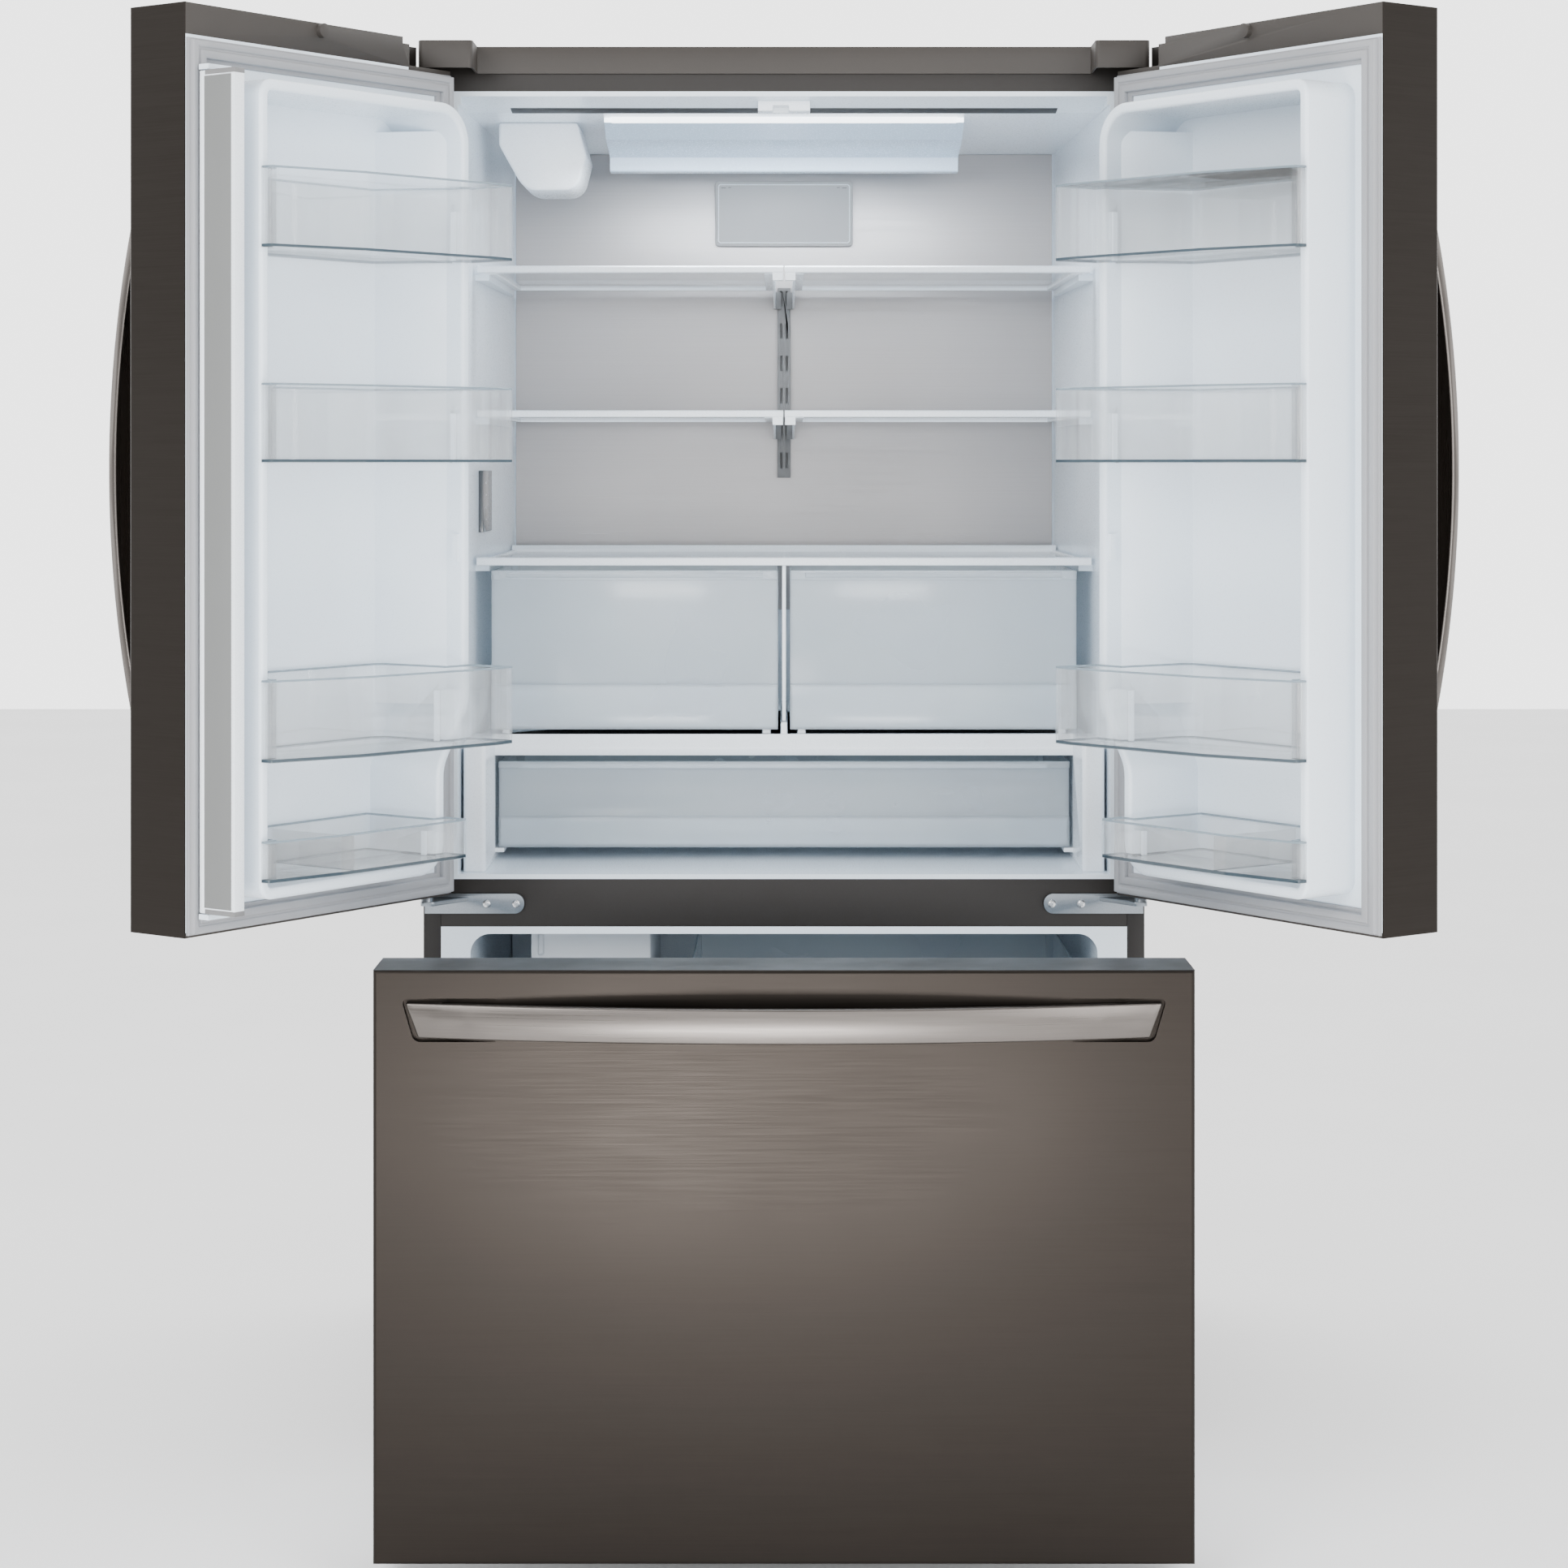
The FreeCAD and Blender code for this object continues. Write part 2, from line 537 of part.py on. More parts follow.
cover_plane, cover_thick = freezer_back - 44.0, 2.5
vent_length, vent_height, vent_pitch = 80.0, 8.0, 160.0
vents = [box(x - vent_length / 2, x + vent_length / 2, cover_plane - 3, cover_plane + 5, z, z + vent_height)
         for x in [vent_pitch * (k - 1.5) for k in range(4)]
         for z in (freezer_ceiling - 60, freezer_ceiling - 40)]
evap_cover = cut(box(-freezer_half + 2, freezer_half - 2, cover_plane, cover_plane + cover_thick,
                     step_top, freezer_ceiling), vents)
keep("evaporator_cover", evap_cover.common(freezer_hollow))


def tube_bank(x0, x1, y, levels, radius):
    """Flat coil: level tubes joined by half rings at alternate ends."""
    parts = []
    for i, z in enumerate(levels):
        parts.append(rod(radius, (x0, y, z), (x1, y, z)))
        if i + 1 < len(levels):
            gap = (levels[i + 1] - z) / 2
            x = x1 if i % 2 == 0 else x0
            ring = Part.makeTorus(gap, radius, V(x, y, z + gap), V(0, 1, 0))
            keep_side = box(x, x + 60, y - 20, y + 20, z - 30, z + 60) if i % 2 == 0 else \
                box(x - 60, x, y - 20, y + 20, z - 30, z + 60)
            parts.append(ring.common(keep_side))
    return fuse(parts)


coil_y = (cover_plane + cover_thick + freezer_back) / 2
evap_pitch, evap_tubes, evap_radius = 34.0, 6, 5.0
evap_levels = [step_top + 30 + evap_pitch * k for k in range(evap_tubes)]
evaporator = tube_bank(-freezer_half + 60, freezer_half - 60, coil_y, evap_levels, evap_radius)
fin_count = 12
fin_span = 2 * (freezer_half - 75)
fins = [box(x, x + 1, coil_y - 16, coil_y + 16, step_top + 18, step_top + 212)
        for x in [-fin_span / 2 + fin_span * k / (fin_count - 1) for k in range(fin_count)]]
evaporator = fuse(evaporator, fins)
cond_x0, cond_x1, cond_y = -300.0, -120.0, machine_front + 40.0
cond_pitch, cond_tubes, cond_radius = 30.0, 7, 4.0
cond_fin_pitch, cond_fin_count = 32.0, 6
cond_levels = [pan_top + 30 + cond_pitch * k for k in range(cond_tubes)]
cond_fins = [box(x, x + 1, cond_y - 12, cond_y + 12, pan_top + 5, pan_top + 225)
             for x in [cond_x0 + 10 + cond_fin_pitch * k for k in range(cond_fin_count)]]
condenser = fuse(tube_bank(cond_x0, cond_x1, cond_y, cond_levels, cond_radius), cond_fins)
keep("refrigerant_coils", evaporator, condenser)

tray_top = freezer_ceiling - 47.0
tray = open_box(-tray_half, tray_half, 62, step_front - 12, tray_z, tray_top, 3.0, 3.0)
tray_low = box(-tray_half - 1, ice_x1 + 55, 60, step_front, ice_bottom - 15, tray_top + 1)
tray_wall = box(ice_x1 + 54, ice_x1 + 57, 63, step_front - 13, tray_z + 1, tray_top)
keep("freezer_tray", fuse(cut(tray, tray_low), tray_wall))

# ---------------------------------------------------------------- machine space
comp_x, comp_y = 230.0, machine_front + 100.0
comp_radius = 78.0
comp_low, comp_high = pan_top + 60.0, pan_top + 140.0
shell = fuse(rod(comp_radius, (comp_x, comp_y, comp_low), (comp_x, comp_y, comp_high)),
             Part.makeSphere(comp_radius, V(comp_x, comp_y, comp_high)),
             Part.makeSphere(comp_radius, V(comp_x, comp_y, comp_low)).common(
                 box(comp_x - 90, comp_x + 90, comp_y - 90, comp_y + 90, pan_top + 12, comp_high)))
feet = [rod(9.0, (comp_x + sx * 70, comp_y + sy * 55, pan_top),
            (comp_x + sx * 70, comp_y + sy * 55, pan_top + 22)) for sx in (-1, 1) for sy in (-1, 1)]
plate = box(comp_x - 85, comp_x + 85, comp_y - 68, comp_y + 68, pan_top + 14, pan_top + 17)
compressor = fuse(shell, plate, feet)
fan_x, fan_y, fan_z, fan_radius = -60.0, machine_front + 120.0, pan_top + 110.0, 72.0
shaft_radius, blade_count, blade_pitch = 3.0, 5, 24.0
shaft = rod(shaft_radius, (fan_x, fan_y - 30, fan_z), (fan_x, fan_y + 16, fan_z))
motor = fuse(rod(24.0, (fan_x, fan_y - 62, fan_z), (fan_x, fan_y - 26, fan_z)), shaft,
             box(fan_x - 20, fan_x + 20, fan_y - 58, fan_y - 50, pan_top, fan_z))
keep("compressor_and_fan_motor", compressor, motor)

hub = cut(rod(18.0, (fan_x, fan_y - 8, fan_z), (fan_x, fan_y + 14, fan_z)),
          rod(shaft_radius + running_gap, (fan_x, fan_y - 30, fan_z), (fan_x, fan_y + 30, fan_z)))
blade = box(fan_x - 14, fan_x + 14, fan_y - 1, fan_y + 1.2, fan_z + 15, fan_z + fan_radius)
blade.rotate(V(fan_x, fan_y, fan_z), V(0, 0, 1), blade_pitch)
blades = []
for k in range(blade_count):
    one = blade.copy()
    one.rotate(V(fan_x, fan_y, fan_z), V(0, 1, 0), 360 / blade_count * k)
    blades.append(one)
keep("condenser_fan", fuse(hub, blades))

valve_x, valve_z, stub_radius = -half + 70.0, 205.0, 5.0
gland_x, gland_z, gland_radius = half - 74.0, 120.0, 5.0
gland_length = 10.0
valve = fuse(box(valve_x - 22, valve_x + 22, case_depth - 60, case_depth - 18, valve_z - 28, valve_z + 24),
             rod(stub_radius, (valve_x, case_depth - 20, valve_z), (valve_x, case_depth, valve_z)),
             rod(13.0, (valve_x, case_depth - 40, valve_z + 20), (valve_x, case_depth - 40, valve_z + 52)),
             box(-inner_half, valve_x + 22, case_depth - 62, case_depth - 60, valve_z - 28, valve_z + 24))
keep("water_inlet_valve", valve)

cover = box(-inner_half, inner_half, case_depth - sheet, case_depth, pan_top + 2, rear_open)
louvers = [box(x - 45, x + 45, case_depth - 3, case_depth + 1, z, z + 6)
           for x in (-170, -40, 90, 220) for z in range(100, 241, 20)]
valve_window = box(valve_x - 34, valve_x + 34, case_depth - 3, case_depth + 1, valve_z - 34, valve_z + 34)
gland_ring = rod(gland_radius + 5, (gland_x, case_depth - gland_length, gland_z),
                 (gland_x, case_depth, gland_z))
gland_hole = rod(gland_radius, (gland_x, case_depth - 20, gland_z), (gland_x, case_depth + 5, gland_z))
keep("machine_cover", cut(fuse(cover, gland_ring), louvers, valve_window, gland_hole))

# ---------------------------------------------------------------- fridge doors
# Door pieces are drawn shut, with x measured from the side of the case, then swung open.
notch_front = block_front - 2.0


def door_block(inset, back, z0, z1):
    """Body of a door with its two upright front edges rounded, set in from the outer skin."""
    bend = sheet_bend - inset
    return plan([(inset, back, 0), (inset, door_front + inset, bend),
                 (door_width - inset, door_front + inset, bend), (door_width - inset, back, 0)], z0, z1)


def door_skin():
    body = cut(door_block(0, door_back, door_bottom, door_top),
               door_block(sheet, door_back + 1, door_bottom - 1, door_top + 1))
    notch = box(-1, sheet + 1, notch_front, door_back + 1, notch_floor - 8, door_top + 1)
    return cut(body, notch)


def door_caps():
    x0, x1, y0 = sheet, door_width - sheet, door_front + sheet
    top = door_block(sheet, door_back, door_top - 6, door_top)
    strip_up = box(x0, x1, door_back - 2, door_back, fridge_top + 16, door_top)
    notch = box(-1, notch_width, notch_front, door_back + 1, notch_floor, door_top + 1)
    tub = box(0, notch_width + 2, notch_front - 2, door_back, notch_floor - 8, door_top)
    tub = cut(tub, box(-1, sheet, door_front - 1, notch_front, 0, door_top + 1))
    low_step = box(notch_width - 1, notch_width + 12, door_back - 60, door_back + 1,
                   door_top - 8, door_top + 1)
    plug_x, plug_z, plug_radius = door_width - 220.0, door_top - 9.0, 8.5
    plug = rod(plug_radius, (plug_x, door_back - 1, plug_z), (plug_x, door_back + 7, plug_z))
    top = fuse(cut(fuse(top, strip_up, tub), notch, low_step), plug)
    pin_way = rod(pin_radius + running_gap, (pivot_inset, -pivot_forward, notch_floor - 30),
                  (pivot_inset, -pivot_forward, notch_floor + 5))
    bottom = door_block(sheet, door_back, door_bottom, door_bottom + 6)
    socket = rod(pin_radius + 2.5, (pivot_inset, -pivot_forward, door_bottom),
                 (pivot_inset, -pivot_forward, door_bottom + 16))
    socket = socket.common(box(x0, 60, y0, door_back, door_bottom, door_bottom + 16))
    pin_hole = rod(pin_radius + running_gap, (pivot_inset, -pivot_forward, door_bottom - 1),
                   (pivot_inset, -pivot_forward, door_bottom + 20))
    return [cut(top, pin_way), cut(fuse(bottom, socket), pin_hole)]


rib_low, rib_high = door_bottom + 43.0, fridge_top - 34.0
sweep_low, sweep_high = door_bottom + 170.0, door_bottom + 243.0
rib_hinge, rib_free, rib_swept = 50.0, door_width - 43.7, 96.0
rib_thick = 13.0


def rib_loop(inset, round_out):
    return [(rib_hinge + inset, rib_high - inset, max(4.0, 48 - inset)),
            (rib_free - inset, rib_high - inset, max(4.0, round_out - inset)),
            (rib_free - inset, rib_low + inset, max(4.0, round_out - inset)),
            (rib_swept + inset, rib_low + inset, max(4.0, 40 - inset)),
            (rib_swept + inset, sweep_low, 40),
            (rib_hinge + inset, sweep_high, 40)]


pan_back = door_back - pan_depth
flange_back = door_back - 2.0
wall = 2.5                    # plastic wall of the door liners
bin_specs = {
    "bin_top": {"z0": door_top - 278.0, "z1": door_top - 186.0, "inner": 66.0, "kind": "wide"},
    "bin_middle": {"z0": door_top - 520.0, "z1": door_top - 430.0, "inner": 66.0, "kind": "wide"},
    "bin_lower": {"z0": door_bottom + 199.0, "z1": door_bottom + 292.0, "inner": 96.0, "kind": "wide"},
    "bin_bottom": {"z0": door_bottom + 64.0, "z1": door_bottom + 111.0, "inner": 119.0, "kind": "small"},
}
lug_y = (50.0, 58.0)
free_lug_y = (20.0, 28.0)
bin_free = rib_free - rib_thick - 4.0
mullion_face = door_width - 5.7
mullion_depth, mullion_width = 16.0, 60.0
mullion_z0, mullion_z1 = door_bottom + 30.0, fridge_top - 27.0
fold_y, fold_pin = 9.5, 3.0          # the folding bar turns on pins set in from its edge
fold_x = mullion_face - fold_y


def lug_top(spec):
    return spec["z1"] - 30.0 if spec["kind"] == "wide" else spec["z1"] - 16.0


def door_liner(with_mullion):
    crest = dike_depth
    crest_round = 4.5
    flange = box(sheet, door_width - sheet, flange_back, door_back, door_bottom + 6, fridge_top + 16)
    ring = cut(slab(rib_loop(0, 20), flange_back, crest),
               slab(rib_loop(rib_thick, 20), flange_back - 1, crest + 5))
    crest_edges = [e for e in ring.Edges if all(abs(v.Y - crest) < 1e-6 for v in e.Vertexes)]
    ring = ring.makeFillet(crest_round, crest_edges)
    tub = slab(rib_loop(rib_thick - wall, 20), pan_back, flange_back + 1)
    well = slab(rib_loop(rib_thick, 20), pan_back + wall, crest + 5)
    slope = plan([(rib_hinge + rib_thick - 1, 40, 0), (rib_hinge + 50, pan_back + wall, 0),
                  (rib_hinge + 50, pan_back, 0), (rib_hinge + rib_thick - 1, pan_back, 0)],
                 sweep_high, rib_high - 30)
    under = plan([(rib_hinge + rib_thick + 0.5, 33, 0), (rib_hinge + 46, pan_back - 1, 0),
                  (rib_hinge + rib_thick + 0.5, pan_back - 1, 0)], sweep_high + 3, rib_high - 33)
    behind = cut(slab(rib_loop(wall, 20), flange_back - 1, crest - wall),
                 slab(rib_loop(rib_thick - wall, 20), flange_back - 2, crest))
    flange = cut(flange, box(0, notch_width + 2, flange_back - 1, door_back + 1, notch_floor - 8,
                             door_top))
    body = cut(fuse(flange, ring, tub), well, behind)
    body = cut(fuse(body, slope), under)
    lugs = []
    for spec in bin_specs.values():
        top = lug_top(spec)
        at = rib_swept if spec["kind"] == "small" else rib_hinge
        lugs.append(box(at + rib_thick - 1, spec["inner"] + 5, lug_y[0] + 0.5, lug_y[1] - 0.5,
                        spec["z0"] + 2, top))
        lugs.append(box(bin_free - 5, rib_free - rib_thick + 1, free_lug_y[0] + 0.5,
                        free_lug_y[1] - 0.5, spec["z0"] + 2, top))
    spare = door_top - 640.0
    lugs.append(box(rib_hinge + rib_thick - 1, rib_hinge + rib_thick + 5, lug_y[0], lug_y[1],
                    spare, spare + 34))
    body = fuse(body, lugs)
    if with_mullion:
        ears = []
        for z0, z1, tip in ((mullion_z1 + 2, mullion_z1 + 8, mullion_z1 - 10),
                            (mullion_z0 - 8, mullion_z0 - 2, mullion_z0 + 10)):
            ears.append(box(rib_free, fold_x + 7, 2, 17, z0, z1))
            ears.append(box(rib_free - 0.5, rib_free + 3, 2, 17, min(z0, tip - 50 if tip < z0 else z0),
                            max(z1, tip + 50 if tip > z1 else z1)))
            base_z = z0 + 1 if tip < z0 else z1 - 1
            ears.append(rod(fold_pin, (fold_x, fold_y, min(base_z, tip)),
                            (fold_x, fold_y, max(base_z, tip))))
        body = fuse(body, ears)
    return body


def door_gasket():
    y0 = door_back

    def loop(inset, radius):
        return frame_loop(2 + inset, door_width - 2 - inset, door_bottom + 3 + inset,
                          fridge_top + 12 - inset, radius)

    foot_top = y0 + gasket_foot
    foot = cut(slab(loop(0, 2), y0, foot_top), slab(loop(gasket_width, 3), y0 - 1, foot_top))
    lip = cut(slab(loop(2, 3), foot_top, y0 + gasket_height),
              slab(loop(gasket_width - 3, 3), foot_top, y0 + gasket_height + 1))
    return fuse(foot, lip)


handle_z0, handle_z1 = door_bottom + 157.0, door_top - 157.0
handle_x1 = door_width - 28.0
handle_x0 = handle_x1 - 38.0
handle_bar = 12.0


def bow(a0, a1, face, reach, bar, foot):
    """Bowed bar profile (along, across): two arcs that end on the face."""
    mid = (a0 + a1) / 2
    outer = Part.Arc(V(a0, face, 0), V(mid, face - reach, 0), V(a1, face, 0))
    inner = Part.Arc(V(a1 - foot, face, 0), V(mid, face - reach + bar, 0), V(a0 + foot, face, 0))
    wire = Part.Wire([outer.toShape(), Part.makeLine(V(a1, face, 0), V(a1 - foot, face, 0)),
                      inner.toShape(), Part.makeLine(V(a0 + foot, face, 0), V(a0, face, 0))])
    return Part.Face(wire)


def door_handle():
    profile = bow(handle_z0, handle_z1, door_front, handle_reach, handle_bar, 46.0)
    bar = profile.extrude(V(0, 0, handle_x1 - handle_x0))
    # profile axes (along, across, thick) become (Z, Y, X)
    bar = bar.transformGeometry(FreeCAD.Matrix(0, 0, 1, handle_x0, 0, 1, 0, 0, 1, 0, 0, 0, 0, 0, 0, 1))
    return bar


def mullion():
    body = box(mullion_face - mullion_depth, mullion_face, fold_y, mullion_width, mullion_z0, mullion_z1)
    turned_end = rod(fold_y, (fold_x, fold_y, mullion_z0), (fold_x, fold_y, mullion_z1)).common(
        box(mullion_face - mullion_depth, mullion_face, 0, fold_y + 10, mullion_z0, mullion_z1))
    body = fuse(body, turned_end)
    groove = box(mullion_face - 1.0, mullion_face + 1, 12, mullion_width - 5, mullion_z0 + 6, mullion_z1 - 6)
    bore = [rod(fold_pin + running_gap, (fold_x, fold_y, z0), (fold_x, fold_y, z1))
            for z0, z1 in ((mullion_z1 - 12, mullion_z1 + 1), (mullion_z0 - 1, mullion_z0 + 12))]
    return cut(body, groove, bore)


def bin_outline(spec):
    inner, free = spec["inner"], bin_free
    back = pan_back + wall + 3.5
    flare = dike_depth + 3.0
    out_free = rib_free + 3.0
    if spec["kind"] == "small":
        return [(inner, back, 0), (free, back, 0), (free, flare - 1, 0), (out_free, flare, 0),
                (out_free, 78, 4), (rib_free - 100, 96, 6), (rib_swept + 25, 104, 6),
                (rib_swept + 2, 100, 3), (rib_swept + 2, flare, 0), (inner, flare - 1, 0)]
    if inner > rib_hinge + 30:
        rear = [(inner, -30, 0), (inner + 12, back, 0)]
    else:
        rear = [(inner, 44, 0), (rib_hinge + 57, back, 0)]
    return rear + [(free, back, 0), (free, flare - 1, 0), (out_free, flare, 0), (out_free, 82, 4),
                   (rib_free - 115, 116, 8), (rib_hinge + 36, 138, 10), (rib_hinge + 2, 134, 4),
                   (rib_hinge + 2, flare, 0), (inner, flare - 1, 0)]


def door_bin(spec):
    shape = bin_outline(spec)
    z0, z1 = spec["z0"], spec["z1"]
    body = cut(plan(shape, z0, z1), plan(shrink(shape, bin_wall), z0 + bin_wall, z1 + 1))
    top = lug_top(spec)
    hooks = [box(spec["inner"] - 1, spec["inner"] + 6, lug_y[0], lug_y[1], z0 - 1, top),
             box(bin_free - 6, bin_free + 1, free_lug_y[0], free_lug_y[1], z0 - 1, top)]
    body = cut(body, hooks)
    if spec["kind"] == "small":
        middle = (spec["inner"] + bin_free) / 2 + 30
        body = fuse(body, box(middle, middle + 2.5, pan_back + wall + 5, 92, z0 + 1, z1 - 4))
    return body


def swing(shape):
    """Move a shut left door piece to its place and swing it open."""
    placed = shape.copy()
    placed.translate(V(-half, 0, 0))
    placed.rotate(V(pivot_x, -pivot_forward, 0), V(0, 0, 1), -door_open_angle)
    return placed


def hung(side, shape):
    return swing(shape) if side == "left" else mirrored(swing(shape))


for side in ("left", "right"):
    keep(side + "_door_skin", hung(side, door_skin()))
    keep(side + "_door_caps", [hung(side, c) for c in door_caps()])
    keep(side + "_door_liner", hung(side, door_liner(side == "left")))
    keep(side + "_door_gasket", hung(side, door_gasket()))
    keep(side + "_door_handle", hung(side, door_handle()))
    for label, spec in bin_specs.items():
        keep(side + "_" + label, hung(side, door_bin(spec)))
keep("door_mullion", swing(mullion()))

# ---------------------------------------------------------------- freezer drawer
drawer_half = half - 1.0
shift = V(0, -drawer_pull_out, 0)


def drawer_node(name, *shapes):
    moved = []
    for s in shapes:
        for item in (s if isinstance(s, (list, tuple)) else [s]):
            item = item.copy()
            item.translate(shift)
            moved.append(item)
    keep(name, moved)


bar_half = freezer_half + 22.0
bar_z0, bar_z1 = drawer_top - 74.0, drawer_top - 36.0
bar_slant = 14.0              # how much shorter the lower edge of the bar is at each end
bar_foot = 40.0
pocket_gap = 5.0              # clear space round the sunk end of the bar
pocket_depth = 9.0
pocket_slope = 55.0           # length over which the pocket floor comes up to the front


def drawer_block(inset, back):
    """Front of the drawer with its front edges rounded, set in from the outer skin."""
    body = box(-drawer_half + inset, drawer_half - inset, door_front + inset, back,
               drawer_bottom + inset, drawer_top - inset)
    edges = [e for e in body.Edges if all(abs(v.Y - door_front - inset) < 1e-6 for v in e.Vertexes)]
    return body.makeFillet(sheet_bend - inset, edges)


def handle_pocket(grow):
    """Hollow that the left end of the bar sinks into, grown outwards by a wall."""
    gap = pocket_gap + grow
    floor_y = door_front + pocket_depth + grow
    end = -bar_half - gap
    inner = -bar_half + bar_foot + 4 + grow
    run_out = inner + pocket_slope
    across = plan([(end, door_front - 1 + grow, 0), (run_out, door_front - 1 + grow, 0),
                   (run_out, door_front + grow, 0), (inner, floor_y, 0), (end, floor_y, 0)],
                  bar_z0 - gap, bar_z1 + gap)
    upright = slab([(end, bar_z1 + gap, 6), (end + bar_slant, bar_z0 - gap, 10),
                    (run_out + 1, bar_z0 - gap, 0), (run_out + 1, bar_z1 + gap, 0)],
                   door_front - 2, floor_y + 1)
    return across.common(upright)


front_skin = cut(drawer_block(0, door_back), drawer_block(sheet, door_back + 1))
front_skin = fuse(front_skin, pair(handle_pocket(sheet)))
front_skin = cut(front_skin, pair(handle_pocket(0)))
drawer_node("freezer_front_skin", front_skin)
back_plate = box(-drawer_half + sheet, drawer_half - sheet, flange_back, door_back,
                 drawer_bottom + sheet, drawer_top - sheet)
raised = slab(frame_loop(-freezer_half + 65, freezer_half - 65, freezer_floor + 225,
                         freezer_ceiling - 50, 18), flange_back, 6)
raised_hollow = slab(frame_loop(-freezer_half + 68, freezer_half - 68, freezer_floor + 228,
                                freezer_ceiling - 53, 15), flange_back - 1, 3.5)
drawer_node("freezer_front_liner", cut(fuse(back_plate, raised), raised_hollow))


def drawer_ring(inset):
    return frame_loop(-drawer_half + 3 + inset, drawer_half - 3 - inset, kick_top - 8 + inset,
                      freezer_top + 10 - inset, 3)


gasket = cut(slab(drawer_ring(0), door_back, door_back + gasket_height),
             slab(drawer_ring(gasket_width), door_back - 1, door_back + gasket_height + 1))
drawer_node("freezer_gasket", gasket)

bar_profile = bow(-bar_half, bar_half, door_front, drawer_handle_reach + 6, handle_bar, 60.0)
bar = bar_profile.extrude(V(0, 0, bar_z1 - bar_z0))
bar.translate(V(0, 0, bar_z0))
bar_end = box(-bar_half, -bar_half + bar_foot, door_front - 2, door_front + pocket_depth,
              bar_z0, bar_z1)
end_trim = slab([(bar_half + 5, bar_z1 + 5, 0), (bar_half, bar_z1 + 5, 0), (bar_half, bar_z1, 0),
                 (bar_half - bar_slant, bar_z0, 0), (bar_half - bar_slant, bar_z0 - 5, 0),
                 (bar_half + 5, bar_z0 - 5, 0)], door_front - 80, door_front + pocket_depth + 1)
drawer_node("freezer_handle", cut(fuse(bar, pair(bar_end)), pair(end_trim)))

slide_z0, slide_z1 = freezer_floor + 150.0, freezer_floor + 185.0
slide_end = step_front - 28.0
rail_wall, rail_depth, rail_play = 3.0, 12.0, 0.5
outer_rail = cut(box(-freezer_half, -freezer_half + rail_depth, 20, slide_end, slide_z0 - 5, slide_z1 + 5),
                 box(-freezer_half + rail_wall, -freezer_half + rail_depth + 1, 19, slide_end + 1,
                     slide_z0, slide_z1))
keep("freezer_rails_outer", pair(outer_rail))
mid_x = -freezer_half + rail_wall + rail_play
mid_rail = cut(box(mid_x, -freezer_half + 16, 16, slide_end - 2, slide_z0 + rail_play,
                   slide_z1 - rail_play),
               box(mid_x + rail_wall, -freezer_half + 17, 15, slide_end, slide_z0 + 4, slide_z1 - 4))
mid_pair = [m.copy() for m in pair(mid_rail)]
for m in mid_pair:
    m.translate(shift * 0.5)
keep("freezer_rails_mid", mid_pair)
inner_x = mid_x + rail_wall + rail_play
inner_rail = fuse(box(inner_x, inner_x + 16, door_back, slide_end - 6, slide_z0 + 4.5, slide_z1 - 4.5),
                  box(inner_x + 12, inner_x + 16, door_back, slide_end - 6, slide_z0 + 4.5, slide_z1 + 6),
                  box(inner_x + 12, inner_x + 50, door_back, door_back + 4, slide_z0 - 30, slide_z1 + 45))
drawer_node("freezer_rails_inner", pair(inner_rail))
basket_half, basket_wall = freezer_half - 26.0, 3.0
hole_length, hole_height, hole_pitch, hole_count = 60.0, 12.0, 104.0, 6
basket_z0, basket_z1 = freezer_floor + 12.0, tray_z - 22.0
basket_y0, basket_y1 = 14.0, step_front - 22.0
basket = open_box(-basket_half, basket_half, basket_y0, basket_y1, basket_z0, basket_z1, basket_wall,
                  basket_wall)
rest_z = slide_z1 + 6
hang = box(-basket_half - 8, -basket_half + 2, basket_y0 + 10, basket_y1 - 14, rest_z, rest_z + 3)
vent_rows = [box(x - hole_length / 2, x + hole_length / 2, basket_y0 - 2, basket_y1 + 2, z, z + hole_height)
             for x in [hole_pitch * (k - (hole_count - 1) / 2) for k in range(hole_count)]
             for z in (basket_z0 + 90, basket_z0 + 125)]
drawer_node("freezer_basket", fuse(cut(basket, vent_rows), pair(hang)))

# ---------------------------------------------------------------- origin and export
front_reach = door_front - drawer_pull_out - drawer_handle_reach - 6.0
origin_shift = -(front_reach + case_depth) / 2

if __name__ == "__main__":
    for name, shape in nodes.items():
        out = shape.copy()
        out.translate(V(0, origin_shift, 0))
        out.exportStep("parts/" + name + ".step")
    print(len(nodes), "nodes written")
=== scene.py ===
"""Looks of the french door refrigerator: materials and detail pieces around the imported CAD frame."""
import json
import math

import bmesh
import bpy
from mathutils import Matrix, Vector

